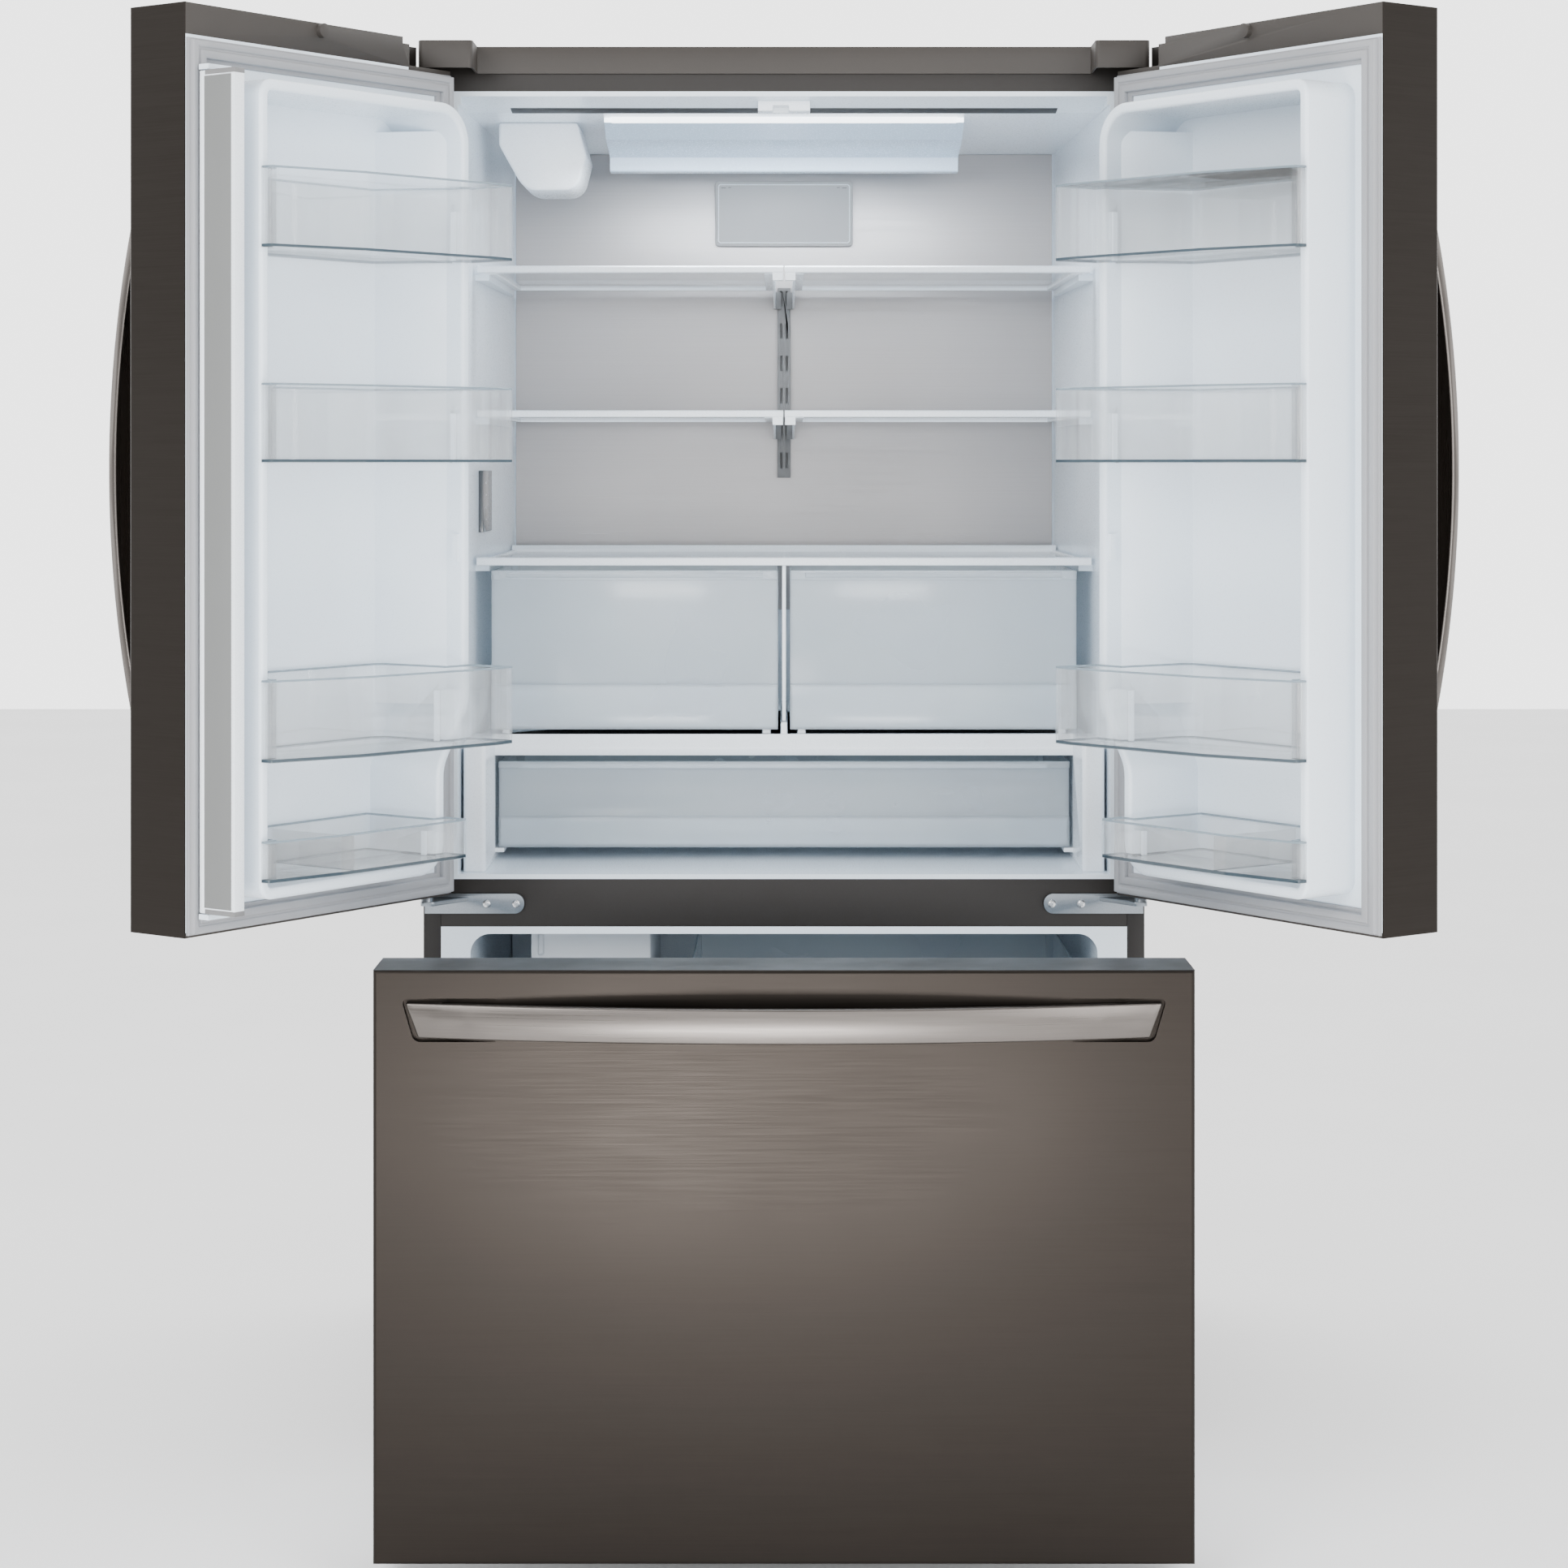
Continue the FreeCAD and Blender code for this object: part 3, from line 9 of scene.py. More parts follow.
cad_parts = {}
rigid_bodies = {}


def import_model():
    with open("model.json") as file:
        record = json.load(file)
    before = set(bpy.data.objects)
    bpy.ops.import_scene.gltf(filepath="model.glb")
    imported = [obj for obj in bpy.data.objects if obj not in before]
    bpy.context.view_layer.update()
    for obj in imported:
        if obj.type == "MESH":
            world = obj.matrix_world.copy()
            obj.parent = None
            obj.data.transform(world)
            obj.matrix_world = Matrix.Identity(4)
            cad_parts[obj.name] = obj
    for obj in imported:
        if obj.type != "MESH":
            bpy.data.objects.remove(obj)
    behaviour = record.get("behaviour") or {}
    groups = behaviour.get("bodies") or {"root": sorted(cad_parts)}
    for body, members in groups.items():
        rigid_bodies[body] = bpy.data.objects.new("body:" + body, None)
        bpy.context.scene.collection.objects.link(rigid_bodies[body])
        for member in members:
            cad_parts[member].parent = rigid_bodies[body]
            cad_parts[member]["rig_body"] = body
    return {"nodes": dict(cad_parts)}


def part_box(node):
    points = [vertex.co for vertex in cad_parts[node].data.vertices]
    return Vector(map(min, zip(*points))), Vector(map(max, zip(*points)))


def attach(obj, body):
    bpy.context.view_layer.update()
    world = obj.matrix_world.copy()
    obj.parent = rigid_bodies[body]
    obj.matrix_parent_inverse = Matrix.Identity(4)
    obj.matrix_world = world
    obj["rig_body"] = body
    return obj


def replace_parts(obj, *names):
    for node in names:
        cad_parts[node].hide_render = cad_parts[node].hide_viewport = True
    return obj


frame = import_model()
NODES = frame["nodes"]
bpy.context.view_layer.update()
MM = 0.001
SIDES = ("left", "right")
SHELVES = ("top", "middle", "lower", "bottom")


# ---------------------------------------------------------------- node material helpers
class Surface:
    """A Principled material with short calls for the nodes that feed it."""

    def __init__(self, name):
        self.material = bpy.data.materials.new(name)
        self.material.use_nodes = True
        self.tree = self.material.node_tree
        self.shader = self.tree.nodes["Principled BSDF"]
        self.place = self.tree.nodes.new("ShaderNodeTexCoord").outputs["Object"]

    def set(self, **values):
        for key, value in values.items():
            self.shader.inputs[key.replace("_", " ")].default_value = value
        return self

    def link(self, output, socket):
        self.tree.links.new(output, self.shader.inputs[socket])

    def noise(self, scale, stretch=(1, 1, 1), detail=4.0, roughness=0.5, turn=0.0):
        mapping = self.tree.nodes.new("ShaderNodeMapping")
        mapping.inputs["Rotation"].default_value = (0, 0, turn)
        mapping.inputs["Scale"].default_value = stretch
        texture = self.tree.nodes.new("ShaderNodeTexNoise")
        texture.inputs["Scale"].default_value = scale
        texture.inputs["Detail"].default_value = detail
        texture.inputs["Roughness"].default_value = roughness
        self.tree.links.new(self.place, mapping.inputs["Vector"])
        self.tree.links.new(mapping.outputs["Vector"], texture.inputs["Vector"])
        return texture.outputs["Fac"]

    def spread(self, value, low, high, start=0.3, end=0.7):
        node = self.tree.nodes.new("ShaderNodeMapRange")
        node.inputs["From Min"].default_value = start
        node.inputs["From Max"].default_value = end
        node.inputs["To Min"].default_value = low
        node.inputs["To Max"].default_value = high
        self.tree.links.new(value, node.inputs["Value"])
        return node.outputs["Result"]

    def tones(self, value, dark, light):
        node = self.tree.nodes.new("ShaderNodeMix")
        node.data_type = "RGBA"
        node.inputs["A"].default_value = (*dark, 1)
        node.inputs["B"].default_value = (*light, 1)
        self.tree.links.new(value, node.inputs["Factor"])
        return node.outputs["Result"]

    def bump(self, value, distance, strength=1.0):
        node = self.tree.nodes.new("ShaderNodeBump")
        node.inputs["Strength"].default_value = strength
        node.inputs["Distance"].default_value = distance
        self.tree.links.new(value, node.inputs["Height"])
        self.link(node.outputs["Normal"], "Normal")
        return self


def shade(color, factor):
    return tuple(min(1.0, c * factor) for c in color)


def brushed_metal(name, color, roughness, stretch, contrast=0.05, turn=0.0, anisotropic=0.0):
    """Sheet with fine brush lines; stretch is small along the brush direction."""
    s = Surface(name).set(Metallic=1.0, Anisotropic=anisotropic)
    lines = s.noise(900, stretch, 3.0, 0.6, turn)
    clouds = s.noise(3.0, detail=2.0)
    s.link(s.tones(s.spread(lines, 0, 1), shade(color, 1 - contrast), shade(color, 1 + contrast)),
           "Base Color")
    mixed = s.tree.nodes.new("ShaderNodeMath")
    mixed.operation = "ADD"
    s.tree.links.new(s.spread(lines, -0.05, 0.05), mixed.inputs[0])
    s.tree.links.new(s.spread(clouds, roughness - 0.03, roughness + 0.04), mixed.inputs[1])
    s.link(mixed.outputs[0], "Roughness")
    s.bump(lines, 0.004 * MM, 0.4)
    return s.material


def moulded_plastic(name, color, roughness, texture_scale=700, depth=0.00002, variation=0.03,
                    coat=0.0):
    """Moulded plastic: faint colour clouds, fine surface grain and uneven gloss."""
    s = Surface(name).set(Coat_Weight=coat, Coat_Roughness=0.15, IOR=1.49)
    clouds = s.noise(5.0, detail=3.0)
    s.link(s.tones(s.spread(clouds, 0, 1), shade(color, 1 - variation), shade(color, 1 + variation)),
           "Base Color")
    grain = s.noise(texture_scale, detail=2.0)
    s.link(s.spread(grain, roughness - 0.04, roughness + 0.05), "Roughness")
    s.bump(grain, depth, 0.5)
    return s.material


def clear_plastic(name, color, roughness, transmission, face, rim, wave=0.00006):
    """Moulded clear wall: nearly see-through face on, firmer where it is seen along its surface."""
    s = Surface(name).set(Transmission_Weight=transmission, IOR=1.45)
    clouds = s.noise(9.0, detail=2.0)
    s.link(s.tones(s.spread(clouds, 0, 1), shade(color, 0.97), shade(color, 1.02)), "Base Color")
    haze = s.noise(160.0, detail=2.0)
    s.link(s.spread(haze, max(0.0, roughness - 0.02), roughness + 0.03), "Roughness")
    weight = s.tree.nodes.new("ShaderNodeLayerWeight")
    weight.inputs["Blend"].default_value = 0.35
    s.link(s.spread(weight.outputs["Facing"], face, rim, 0.0, 0.9), "Alpha")
    s.bump(clouds, wave, 0.6)
    return s.material


def glowing(name, color, strength):
    """Lit plastic with faint unevenness along it."""
    s = Surface(name).set(Emission_Strength=strength, Roughness=0.4)
    along = s.noise(14.0, detail=1.0)
    tone = s.tones(s.spread(along, 0, 1), shade(color, 0.97), color)
    s.link(tone, "Base Color")
    s.link(tone, "Emission Color")
    return s.material


# ---------------------------------------------------------------- colours and materials
DARK_STEEL = (0.0275, 0.0235, 0.0206)
HANDLE_STEEL = (0.135, 0.122, 0.113)
WHITE = (0.80, 0.885, 0.965)
OPEN_ANGLE = math.radians(125.3)
EVEN = (1.0, 1.0, 1.0)
ALONG_X = (0.01, 0.01, 1.0)                   # brush lines run along X
ALONG_BAR = (1.0, 0.01, 0.01)                 # lines that vary only across a door handle
MATERIALS = {
    "black_stainless": brushed_metal("black_stainless", DARK_STEEL, 0.36, ALONG_X, anisotropic=0.5),
    "handle_left": brushed_metal("handle_left", HANDLE_STEEL, 0.3, ALONG_BAR, turn=OPEN_ANGLE),
    "handle_right": brushed_metal("handle_right", HANDLE_STEEL, 0.3, ALONG_BAR, turn=-OPEN_ANGLE),
    "handle_drawer": brushed_metal("handle_drawer", HANDLE_STEEL, 0.32, ALONG_X, anisotropic=0.4),
    "painted_case": moulded_plastic("painted_case", (0.009, 0.0065, 0.005), 0.6, 1400, 0.00003, 0.05),
    "dark_trim": moulded_plastic("dark_trim", (0.030, 0.025, 0.021), 0.56, 1600, 0.00003, 0.05),
    "zinc_plate": brushed_metal("zinc_plate", (0.24, 0.265, 0.29), 0.34, EVEN, contrast=0.1),
    "bright_zinc": brushed_metal("bright_zinc", (0.62, 0.63, 0.64), 0.26, EVEN, contrast=0.06),
    "galvanised": brushed_metal("galvanised", (0.42, 0.43, 0.44), 0.42, (0.2, 0.2, 0.2), contrast=0.14),
    "white_liner": moulded_plastic("white_liner", WHITE, 0.3, 500, 0.00003, 0.015, 0.25),
    "white_trim": moulded_plastic("white_trim", (0.84, 0.89, 0.94), 0.28, 600, 0.00002, 0.012, 0.3),
    "back_steel": brushed_metal("back_steel", (0.34, 0.335, 0.34), 0.33, (0.004, 1, 1), contrast=0.03,
                                anisotropic=0.5),
    "filter_grey": moulded_plastic("filter_grey", (0.47, 0.475, 0.485), 0.38, 700, 0.00002, 0.02),
    "ladder_grey": moulded_plastic("ladder_grey", (0.17, 0.17, 0.172), 0.4, 900, 0.00002, 0.03),
    "mullion_grey": moulded_plastic("mullion_grey", (0.155, 0.16, 0.158), 0.42, 900, 0.00002, 0.02),
    "light_grey": moulded_plastic("light_grey", (0.60, 0.63, 0.66), 0.35, 700, 0.00002, 0.02),
    "shelf_glass": clear_plastic("shelf_glass", (0.965, 0.99, 0.985), 0.02, 1.0, 0.35, 0.7, 0.00001),
    "clear_bin": clear_plastic("clear_bin", (0.97, 0.99, 1.0), 0.03, 0.8, 0.16, 0.42),
    # painted shade: the rim and foot materials are darker, firmer clear plastic standing in for the
    # dark lines that light draws along the edges of the clear walls
    "clear_rim_painted_shade": clear_plastic("clear_rim_painted_shade", (0.26, 0.33, 0.38), 0.12, 0.3, 0.75, 0.95),
    "clear_foot_painted_shade": clear_plastic("clear_foot_painted_shade", (0.035, 0.055, 0.07), 0.12, 0.0, 0.95, 1.0),
    "frosted_bin": clear_plastic("frosted_bin", (0.84, 0.925, 1.0), 0.14, 0.45, 0.5, 0.8),
    # painted shade along the top rims of the frosted drawers
    "frosted_rim_painted_shade": clear_plastic("frosted_rim_painted_shade", (0.50, 0.59, 0.64), 0.16, 0.5, 0.85, 0.95),
    "soft_gasket": moulded_plastic("soft_gasket", (0.30, 0.305, 0.32), 0.55, 1200, 0.00004, 0.02),
    "hood": moulded_plastic("hood", (0.48, 0.60, 0.74), 0.25, 500, 0.00002, 0.02, 0.3),
    "led": glowing("led", (0.92, 0.96, 1.0), 3.5),
    "black_gloss": moulded_plastic("black_gloss", (0.035, 0.042, 0.05), 0.16, 300, 0.00001, 0.05, 0.6),
    "black_enamel": moulded_plastic("black_enamel", (0.012, 0.012, 0.013), 0.3, 900, 0.00004, 0.1, 0.3),
    "coil_metal": brushed_metal("coil_metal", (0.66, 0.66, 0.67), 0.33, EVEN, contrast=0.08),
    "foam": moulded_plastic("foam", (0.72, 0.62, 0.38), 0.85, 260, 0.0003, 0.12),
    "foot_black": moulded_plastic("foot_black", (0.02, 0.02, 0.021), 0.6, 1200, 0.00005, 0.1),
}


# ---------------------------------------------------------------- piece helpers
def body_of(node):
    return NODES[node]["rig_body"]


def finish_mesh(piece, material, angle=35):
    piece.data.materials.clear()
    piece.data.materials.append(MATERIALS[material])
    piece.data.shade_smooth()
    piece.data.set_sharp_from_angle(angle=math.radians(angle))
    return piece


def object_from(name, build):
    """A new object whose mesh a bmesh builder makes."""
    bm = bmesh.new()
    build(bm)
    bmesh.ops.recalc_face_normals(bm, faces=bm.faces)
    mesh = bpy.data.meshes.new(name)
    bm.to_mesh(mesh)
    bm.free()
    made = bpy.data.objects.new(name, mesh)
    bpy.context.scene.collection.objects.link(made)
    return made


def join_rings(bm, rings, closed=False):
    """Skin between successive rings of vertices; a ring of one vertex is a pole."""
    for one, two in zip(rings, rings[1:] + (rings[:1] if closed else [])):
        count = max(len(one), len(two))
        for k in range(count):
            n = (k + 1) % count
            if len(one) == 1:
                bm.faces.new((one[0], two[k], two[n]))
            elif len(two) == 1:
                bm.faces.new((one[k], two[0], one[n]))
            else:
                bm.faces.new((one[k], one[n], two[n], two[k]))


def apply_modifiers(piece):
    """Turn a piece's modifiers into its mesh."""
    depsgraph = bpy.context.evaluated_depsgraph_get()
    piece.data = bpy.data.meshes.new_from_object(piece.evaluated_get(depsgraph))
    piece.modifiers.clear()


def add_piece(name, build, material, body):
    """A new piece from a bmesh builder, riding on a CAD body."""
    piece = finish_mesh(object_from(name, build), material)
    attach(piece, body)
    return piece


def softened(node, width, material, levels=()):
    """A copy of a CAD node with its outer edges rounded, which stands for the node.

    levels are heights at which the faces are divided, so that a band can have its own material; on the
    clear bins these bands carry painted shade.
    """
    mesh = NODES[node].data.copy()
    bm = bmesh.new()
    bm.from_mesh(mesh)
    bmesh.ops.remove_doubles(bm, verts=bm.verts, dist=0.000002)
    bmesh.ops.dissolve_limit(bm, angle_limit=math.radians(0.6), verts=bm.verts, edges=bm.edges)
    for level in levels:
        bmesh.ops.bisect_plane(bm, geom=[*bm.verts, *bm.edges, *bm.faces], plane_co=(0, 0, level),
                               plane_no=(0, 0, 1), dist=0.000001)
    bm.to_mesh(mesh)
    bm.free()
    piece = bpy.data.objects.new(node + "_form", mesh)
    bpy.context.scene.collection.objects.link(piece)
    bevel = piece.modifiers.new("edges", "BEVEL")
    bevel.width = width
    bevel.segments = 2
    bevel.limit_method = "ANGLE"
    bevel.angle_limit = math.radians(30)
    bevel.use_clamp_overlap = True
    bevel.miter_outer = "MITER_ARC"
    apply_modifiers(piece)
    finish_mesh(piece, material)
    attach(piece, body_of(node))
    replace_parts(piece, node)
    return piece


def swept_ring(name, node, profile, corners, frame_at, material):
    """A closed ring of one profile with mitred corners, which stands for a CAD gasket.

    profile: (in, out) pairs, the distance inwards from the corner line and the height off the door.
    corners: four (along, up) points; frame_at turns (along, up, out) into a place.
    """
    centre = Vector(corners[0]).lerp(Vector(corners[2]), 0.5)

    def build(bm):
        rings = []
        for inwards, out in profile:
            ring = []
            for along, up in corners:
                a = along + math.copysign(inwards, centre.x - along)
                u = up + math.copysign(inwards, centre.y - up)
                ring.append(bm.verts.new(frame_at(a, u, out)))
            rings.append(ring)
        join_rings(bm, rings, closed=True)

    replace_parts(add_piece(name, build, material, body_of(node)), node)


def soft_box(low, high, width, segments=2):
    """Mesh builder for a small moulded block with rounded edges."""
    def build(bm):
        size = Vector(high) - Vector(low)
        centre = (Vector(high) + Vector(low)) / 2
        place = Matrix.Translation(centre) @ Matrix.Diagonal((*size, 1))
        bmesh.ops.create_cube(bm, size=1, matrix=place)
        bmesh.ops.bevel(bm, geom=list(bm.edges), offset=width, segments=segments, affect="EDGES",
                        profile=0.5)
    return build


def cut_with(piece, build):
    """Take a shape out of a piece."""
    cutter = object_from("cutter", build)
    taken = piece.modifiers.new("taken", "BOOLEAN")
    taken.operation = "DIFFERENCE"
    taken.object = cutter
    bpy.context.view_layer.update()
    apply_modifiers(piece)
    bpy.data.objects.remove(cutter)


def dress(node, material):
    """A CAD node that keeps its own shape and gets a material."""
    return finish_mesh(NODES[node], material)


# ---------------------------------------------------------------- door frame
case_low, case_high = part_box("outer_case")
PIVOT = Vector((case_low.x + 8 * MM, case_low.y - 45 * MM, 0))


def flip(side, point):
    return Vector(point) if side == "left" else Vector((-point[0], point[1], point[2]))


def door_point(side, along, out, up):
    """Place of a point given on the shut door: from the case side, from the case front, height."""
    shut = Vector((case_low.x + along, case_low.y + out, up))
    return flip(side, Matrix.Rotation(-OPEN_ANGLE, 3, "Z") @ (shut - PIVOT) + PIVOT)


def shut_point(side, place):
    """The same the other way round: (along, out, up) of a place on the open door."""
    shut = Matrix.Rotation(OPEN_ANGLE, 3, "Z") @ (flip(side, place) - PIVOT) + PIVOT
    return Vector((shut.x - case_low.x, shut.y - case_low.y, shut.z))


def shut_box(side, node):
    """Box of a node in the frame of the shut door."""
    points = [shut_point(side, v.co) for v in NODES[node].data.vertices]
    low = Vector([min(p[k] for p in points) for k in range(3)])
    high = Vector([max(p[k] for p in points) for k in range(3)])
    return low, high


# ---------------------------------------------------------------- CAD nodes
ROUNDED = {
    "outer_case": (0.0004, "painted_case"),
    "center_rail": (0.0006, "painted_case"),
    "top_cover": (0.0008, "dark_trim"),
    "hinge_brackets": (0.0006, "zinc_plate"),
    "air_filter_cover": (0.001, "filter_grey"),
    "shelf_ladder": (0.0004, "ladder_grey"),
    "shelf_frames": (0.0009, "white_trim"),
    "crisper_cover_frame": (0.0009, "white_trim"),
    "pantry_housing": (0.0012, "white_trim"),
    "water_filter": (0.004, "white_trim"),
    "mullion_guide": (0.0012, "white_trim"),
    "control_panel": (0.0008, "black_gloss"),
    "ice_maker": (0.002, "light_grey"),
    "crisper_left": (0.0008, "frosted_bin"),
    "crisper_right": (0.0008, "frosted_bin"),
    "pantry_drawer": (0.0008, "frosted_bin"),
    "freezer_tray": (0.0008, "frosted_bin"),
    "freezer_handle": (0.0022, "handle_drawer"),
    "door_mullion": (0.0012, "white_trim"),
}
for side in SIDES:
    ROUNDED[side + "_door_caps"] = (0.0006, "dark_trim")
    ROUNDED[side + "_door_handle"] = (0.0025, "handle_" + side)
    for shelf in SHELVES:
        ROUNDED[f"{side}_bin_{shelf}"] = (0.0009, "clear_bin")

PLAIN = {
    "base_frame": "galvanised", "leveling_legs": "foot_black", "rear_rollers": "foot_black",
    "fridge_liner": "white_liner", "freezer_liner": "white_liner", "insulation_foam": "foam",
    "metal_back_panel": "back_steel", "shelf_glass": "shelf_glass",
    "ceiling_light": "hood", "evaporator_cover": "white_trim", "refrigerant_coils": "coil_metal",
    "compressor_and_fan_motor": "black_enamel", "condenser_fan": "foot_black",
    "water_inlet_valve": "light_grey", "machine_cover": "galvanised",
    "freezer_front_skin": "black_stainless", "freezer_front_liner": "white_liner",
    "freezer_basket": "light_grey",
    "freezer_rails_outer": "bright_zinc", "freezer_rails_mid": "bright_zinc",
    "freezer_rails_inner": "bright_zinc",
}
for side in SIDES:
    PLAIN[side + "_door_skin"] = "black_stainless"
    PLAIN[side + "_door_liner"] = "white_liner"

FOOT_SHADE_BAND, RIM_SHADE_BAND = 4.0 * MM, 2.4 * MM      # bands at the foot and the rim of a clear bin, which get painted shade
NEAR = 0.05 * MM


def band_levels(node):
    """Heights that divide a clear bin into a foot band of painted shade, a face and a rim band of
    painted shade.
    """
    if "_bin_" not in node:
        return ()
    low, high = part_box(node)
    return (low.z + FOOT_SHADE_BAND, high.z - RIM_SHADE_BAND)


FORMS = {node: softened(node, width, material, levels=band_levels(node))
         for node, (width, material) in ROUNDED.items()}
for node, material in PLAIN.items():
    dress(node, material)


def second_finish(piece, material, test, steepest=1.1):
    """Give the faces that pass a test another material; steepest limits the rise of their normals."""
    piece.data.materials.append(MATERIALS[material])
    points = piece.data.vertices
    for face in piece.data.polygons:
        if abs(face.normal.z) < steepest and all(test(points[v].co) for v in face.vertices):
            face.material_index = len(piece.data.materials) - 1


def finish_drawers_and_bins():
    for side in SIDES:
        for shelf in SHELVES:
            form = FORMS[f"{side}_bin_{shelf}"]
            floor = min(v.co.z for v in form.data.vertices)
            crown = max(v.co.z for v in form.data.vertices)
            # painted shade: the rim band and the dark foot band of each clear bin stand in for the
            # shade along the edges of its clear walls
            second_finish(form, "clear_rim_painted_shade", lambda p: p.z > crown - RIM_SHADE_BAND - NEAR)
            second_finish(form, "clear_foot_painted_shade",
                          lambda p: floor + 0.5 * MM < p.z < floor + FOOT_SHADE_BAND + NEAR, steepest=0.5)
    for node in ("crisper_left", "crisper_right", "pantry_drawer", "freezer_tray"):
        crown = max(v.co.z for v in FORMS[node].data.vertices)
        # painted shade: a darker rim band on the frosted drawers, for the shade seen along their walls
        second_finish(FORMS[node], "frosted_rim_painted_shade", lambda p: p.z > crown - 1.2 * MM)


def finish_details():
    """Lit front bar of the lamp, groove of the mullion, dark middle of the shelves, upper hinges."""
    lamp_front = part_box("ceiling_light")[0].y
    second_finish(NODES["ceiling_light"], "led", lambda p: p.y < lamp_front + 10.5 * MM)
    groove = shut_box("left", "door_mullion")[1].x - 0.6 * MM
    second_finish(FORMS["door_mullion"], "mullion_grey",
                  lambda p: groove - 0.6 * MM < shut_point("left", p).x < groove)
    shelf_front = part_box("shelf_frames")[0].y
    second_finish(FORMS["shelf_frames"], "ladder_grey",
                  lambda p: abs(p.x) < 15.3 * MM and p.y > shelf_front + 30 * MM)
    second_finish(FORMS["hinge_brackets"], "dark_trim", lambda p: p.z > case_high.z - 80 * MM)


finish_drawers_and_bins()
finish_details()

# ---------------------------------------------------------------- gaskets
# section of the seal in mm, as (inwards, out from the door): a flat foot with two soft ridges
GASKET_PROFILE = [(0, 0), (0, 3.2), (1.2, 4.0), (2.4, 4.4), (2.2, 8.6), (3.0, 10.4), (4.4, 11),
                  (8.6, 11), (9.8, 10.3), (10.4, 9.0), (12.6, 9.0), (13.2, 10.3), (14.4, 11),
                  (20.4, 11), (21.8, 10.4), (22.6, 8.6), (22.4, 4.6), (24.0, 4.0), (27.0, 3.4),
                  (27.5, 2.6), (27.5, 0)]


def add_gaskets():
    profile = [(a * MM, b * MM) for a, b in GASKET_PROFILE]
    for side in SIDES:
        node = side + "_door_gasket"
        low, high = shut_box(side, node)
        corners = [(low.x, low.z), (high.x, low.z), (high.x, high.z), (low.x, high.z)]

        def place(along, up, out, side=side, base=low.y):
            return door_point(side, along, base + out, up)

        swept_ring(side + "_gasket_bellows", node, profile, corners, place, "soft_gasket")
    low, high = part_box("freezer_gasket")
    corners = [(low.x, low.z), (high.x, low.z), (high.x, high.z), (low.x, high.z)]
    swept_ring("freezer_gasket_bellows", "freezer_gasket", profile, corners,
               lambda along, up, out: Vector((along, low.y + out, up)), "soft_gasket")


add_gaskets()


# ---------------------------------------------------------------- screws
def islands(node):
    """Boxes of the separate solids of a node."""
    bm = bmesh.new()
    bm.from_mesh(NODES[node].data)
    bmesh.ops.remove_doubles(bm, verts=bm.verts, dist=0.000005)
    unseen = set(bm.verts)
    boxes = []
    while unseen:
        seed = unseen.pop()
        stack, points = [seed], [seed.co.copy()]
        while stack:
            for edge in stack.pop().link_edges:
                for vert in edge.verts:
                    if vert in unseen:
                        unseen.discard(vert)
                        stack.append(vert)
                        points.append(vert.co.copy())
        boxes.append((Vector([min(p[k] for p in points) for k in range(3)]),
                      Vector([max(p[k] for p in points) for k in range(3)])))
    bm.free()
    return sorted(boxes, key=lambda b: tuple(round(c, 4) for c in b[0]))


def lathe(bm, profile, centre, axis, steps=40):
    """Turned shape: (radius, height) points about an axis."""
    turn = Vector((0, 0, 1)).rotation_difference(Vector(axis)).to_matrix()
    rings = []
    for radius, height in profile:
        if radius <= 0:
            rings.append([bm.verts.new(Vector(centre) + turn @ Vector((0, 0, height)))])
            continue
        angles = [2 * math.pi * k / steps for k in range(steps)]
        rings.append([bm.verts.new(Vector(centre) + turn @ Vector(
            (radius * math.cos(angle), radius * math.sin(angle), height))) for angle in angles])
    join_rings(bm, rings)


def screw_head(name, base, axis, radius, thick, node):
    """Pan head with a cross recess, standing on base and pointing along axis."""
    axis = Vector(axis)
    dome = [(0, 0), (radius, 0), (radius, thick * 0.35), (radius * 0.93, thick * 0.6),
            (radius * 0.7, thick * 0.88), (radius * 0.35, thick), (0, thick)]
    screw = add_piece(name, lambda bm: lathe(bm, dome, base, axis), "bright_zinc", body_of(node))
    arm, slit, deep = radius * 0.62, radius * 0.14, thick * 0.5
    turn = Vector((0, 0, 1)).rotation_difference(axis).to_matrix() @ Matrix.Rotation(0.5, 3, "Z")
    quarter = [(arm, -slit), (arm, slit), (slit, slit)]
    plus = [Matrix.Rotation(k * math.pi / 2, 2) @ Vector(p) for k in range(4) for p in quarter]

    def cross(bm):
        rings = []
        for height in (thick - deep, thick + deep):
            rings.append([bm.verts.new(Vector(base) + turn @ Vector((p.x, p.y, height))) for p in plus])
        join_rings(bm, rings)
        bm.faces.new(rings[0][::-1])
        bm.faces.new(rings[1])

    cut_with(screw, cross)
    return finish_mesh(screw, "bright_zinc")


def add_screws():
    for index, (low, high) in enumerate(islands("hinge_screws")):
        size = high - low
        upright = size.z < size.y
        axis = Vector((0, 0, 1)) if upright else Vector((0, -1, 0))
        thick = size.z if upright else size.y
        base = (low + high) / 2 - axis * thick / 2
        screw = screw_head(f"hinge_screw_{index:02d}", base, axis, size.x / 2, thick, "hinge_screws")
        if index == 0:
            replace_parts(screw, "hinge_screws")
    low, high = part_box("machine_cover")
    inset, radius, thick = 12 * MM, 4.5 * MM, 2.2 * MM
    spots = [(x, z) for x in (low.x + inset, 0.0, high.x - inset)
             for z in (low.z + inset, high.z - 10 * MM)]
    for index, (x, z) in enumerate(spots):
        screw_head(f"cover_screw_{index}", (x, high.y - thick, z), (0, 1, 0), radius, thick,
                   "machine_cover")


add_screws()


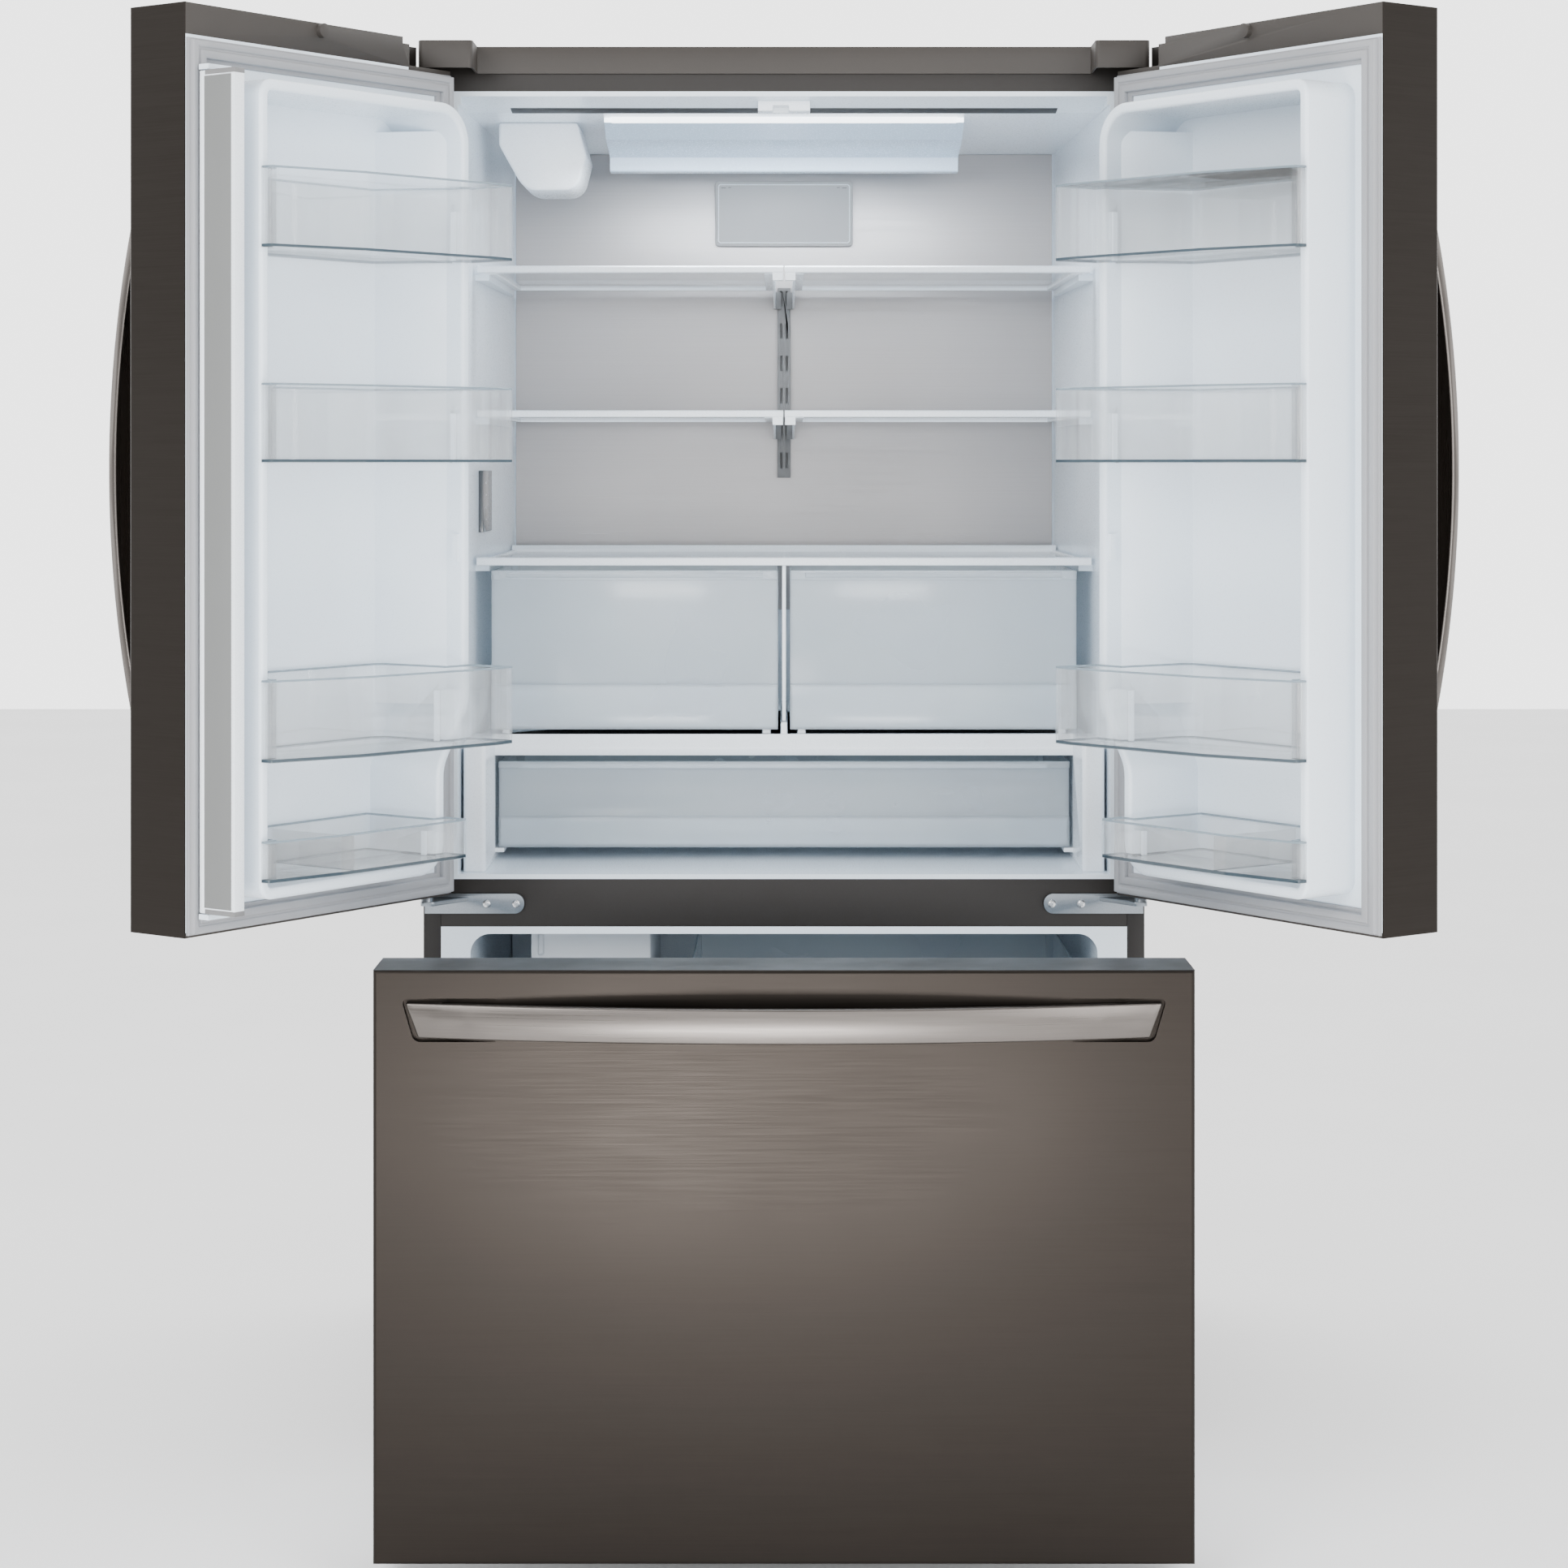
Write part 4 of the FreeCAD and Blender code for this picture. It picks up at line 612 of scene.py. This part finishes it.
# ---------------------------------------------------------------- small details
def add_mullion_caps():
    """Grey end caps that sit over the ends of the folding bar."""
    low, high = shut_box("left", "door_mullion")
    length, over, side_over = 5 * MM, 0.8 * MM, 0.3 * MM
    spans = {"top": (high.z - length, high.z + over), "foot": (low.z - over, low.z + length)}
    for label, (z0, z1) in spans.items():
        def build(bm, z0=z0, z1=z1):
            soft_box((low.x - side_over, low.y + 14 * MM, z0),
                     (high.x + side_over, high.y + side_over, z1), 0.6 * MM)(bm)
            for vert in bm.verts:
                vert.co = door_point("left", *vert.co)

        add_piece("mullion_cap_" + label, build, "ladder_grey", "door_mullion")


def add_filter_marks():
    """Raised rim and two small generic corner marks on the filter cover."""
    low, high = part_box("air_filter_cover")
    face = low.y

    def rim(bm):
        radius = 4.0 * MM
        reach = radius + 4.6 * MM
        corners = ((high.x - reach, high.z - reach), (low.x + reach, high.z - reach),
                   (low.x + reach, low.z + reach), (high.x - reach, low.z + reach))
        section = [(-0.9, 0.2), (-0.9, -0.5), (-0.4, -0.9), (0.4, -0.9), (0.9, -0.5), (0.9, 0.2)]
        rings = []
        for corner, (x, z) in enumerate(corners):
            for step in range(7):
                angle = math.radians(90 * corner + 15 * step)
                outwards = Vector((math.cos(angle), 0, math.sin(angle)))
                rings.append([bm.verts.new(Vector((x, face + b * MM, z)) + outwards * (radius + a * MM))
                              for a, b in section])
        join_rings(bm, rings, closed=True)

    add_piece("filter_cover_rim", rim, "white_trim", body_of("air_filter_cover"))
    for label, sign in (("left", -1), ("right", 1)):
        def mark(bm, sign=sign):
            for k, length in enumerate((7.0, 4.0)):
                x = sign * (high.x - (12 + 9 * k) * MM)
                z = high.z - (9.5 - 0.6 * k) * MM
                soft_box((x - length / 2 * MM, face - 0.25 * MM, z - 0.5 * MM),
                         (x + length / 2 * MM, face + 0.2 * MM, z + 0.5 * MM), 0.15 * MM)(bm)

        add_piece("filter_mark_" + label, mark, "ladder_grey", body_of("air_filter_cover"))


def add_panel_marks():
    """Generic touch marks on the control panel: a short column of dots and bars."""
    low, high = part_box("control_panel")
    face = high.x
    for k in range(4):
        z = low.z + (high.z - low.z) * (0.2 + 0.2 * k)
        y = low.y + (high.y - low.y) * 0.35
        span = (6 if k % 2 else 2.5) * MM

        def mark(bm, z=z, y=y, span=span):
            soft_box((face - 0.4 * MM, y - span, z - 1.2 * MM),
                     (face + 0.15 * MM, y + span, z + 1.2 * MM), 0.1 * MM)(bm)

        add_piece(f"panel_mark_{k}", mark, "white_trim", body_of("control_panel"))


def add_ceiling_slot_shade():
    """Painted shade: a black strip across the ceiling of the fridge where the slot there shows only as
    a shadow line, lying on the slope behind the front edge.
    """
    back_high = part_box("metal_back_panel")[1]
    half = back_high.x - 41 * MM
    slope = 11.0 / 90.0
    half_depth = 13 * MM
    centre = case_low.y + 77 * MM
    surface = back_high.z + 0.5 * MM + half_depth * slope

    def shade_strip(bm):
        soft_box((-half, centre - half_depth, surface - 0.9 * MM),
                 (half, centre + half_depth, surface + 0.2 * MM), 0.3 * MM)(bm)
        for vert in bm.verts:
            vert.co.z -= (vert.co.y - centre) * slope

    # a black piece put where there is only the slot's shadow: painted shade
    add_piece("ceiling_slot_shade", shade_strip, "foot_black", body_of("fridge_liner"))


add_mullion_caps()
add_filter_marks()
add_panel_marks()
add_ceiling_slot_shade()

# ---------------------------------------------------------------- floor, light and camera
CAMERA_BACK = 4.0215          # from the case front plane
CAMERA_HEIGHT = 1.2368
CAMERA_LENS = 73.3
CAMERA_SHIFT = -0.2041        # the camera looks straight ahead, with its view moved down
FRONT_WORLD = 0.58            # strength of the surroundings in front of the object and behind it
BACK_WORLD = 3.2


def add_floor():
    mesh = bpy.data.meshes.new("floor")
    size = 12.0
    mesh.from_pydata([(-size, -size, 0), (size, -size, 0), (size, size, 0), (-size, size, 0)], [],
                     [(0, 1, 2, 3)])
    floor = bpy.data.objects.new("floor", mesh)
    bpy.context.scene.collection.objects.link(floor)
    s = Surface("pale_floor").set(Roughness=0.6)
    s.link(s.tones(s.spread(s.noise(1.5), 0, 1), (0.86, 0.86, 0.86), (0.9, 0.9, 0.9)), "Base Color")
    mesh.materials.append(s.material)


def add_light(name, place, target, size, power, color=(1, 1, 1)):
    data = bpy.data.lights.new(name, "AREA")
    data.shape = "RECTANGLE"
    data.size, data.size_y = size
    data.energy = power
    data.color = color
    light = bpy.data.objects.new(name, data)
    light.location = place
    light.visible_camera = False
    light.rotation_euler = (Vector(target) - Vector(place)).to_track_quat("-Z", "Y").to_euler()
    bpy.context.scene.collection.objects.link(light)


def add_camera():
    data = bpy.data.cameras.new("camera")
    data.sensor_width = 36.0
    data.lens = CAMERA_LENS
    data.shift_y = CAMERA_SHIFT
    data.clip_end = 60.0
    camera = bpy.data.objects.new("camera", data)
    camera.location = (0, case_low.y - CAMERA_BACK, CAMERA_HEIGHT)
    camera.rotation_euler = (math.pi / 2, 0, 0)
    bpy.context.scene.collection.objects.link(camera)
    bpy.context.scene.camera = camera


def add_world():
    """White surroundings behind the object, darker in front, as in a studio."""
    world = bpy.data.worlds.new("studio")
    world.use_nodes = True
    tree = world.node_tree
    back = tree.nodes["Background"]
    place = tree.nodes.new("ShaderNodeTexCoord")
    parts = tree.nodes.new("ShaderNodeSeparateXYZ")
    ramp = tree.nodes.new("ShaderNodeMapRange")
    back.inputs["Color"].default_value = (1, 1, 1, 1)
    ramp.inputs["From Min"].default_value = -0.5
    ramp.inputs["From Max"].default_value = 0.35
    ramp.inputs["To Min"].default_value = FRONT_WORLD
    ramp.inputs["To Max"].default_value = BACK_WORLD
    tree.links.new(place.outputs["Generated"], parts.inputs["Vector"])
    tree.links.new(parts.outputs["Y"], ramp.inputs["Value"])
    tree.links.new(ramp.outputs["Result"], back.inputs["Strength"])
    bpy.context.scene.world = world


add_floor()
add_world()
add_camera()
middle = Vector((0, case_low.y, 1.0))
add_light("key", (-2.2, case_low.y - 3.6, 2.6), middle, (2.0, 2.0), 135)
add_light("fill", (2.4, case_low.y - 3.4, 1.8), middle, (2.0, 2.4), 105)
add_light("front", (0, case_low.y - 5.5, 1.4), middle, (3.0, 3.0), 60)
drawer_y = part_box("freezer_front_skin")[0].y
add_light("low_bank", (-0.1, drawer_y - 1.4, 0.25), (0.0, drawer_y, 0.55), (0.7, 0.22), 14)
hood_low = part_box("ceiling_light")[0]
add_light("cabinet_lamp", (0, hood_low.y + 0.03, hood_low.z - 0.01),
          (0, hood_low.y + 0.25, hood_low.z - 0.8), (0.42, 0.05), 4.0, (0.88, 0.94, 1.0))
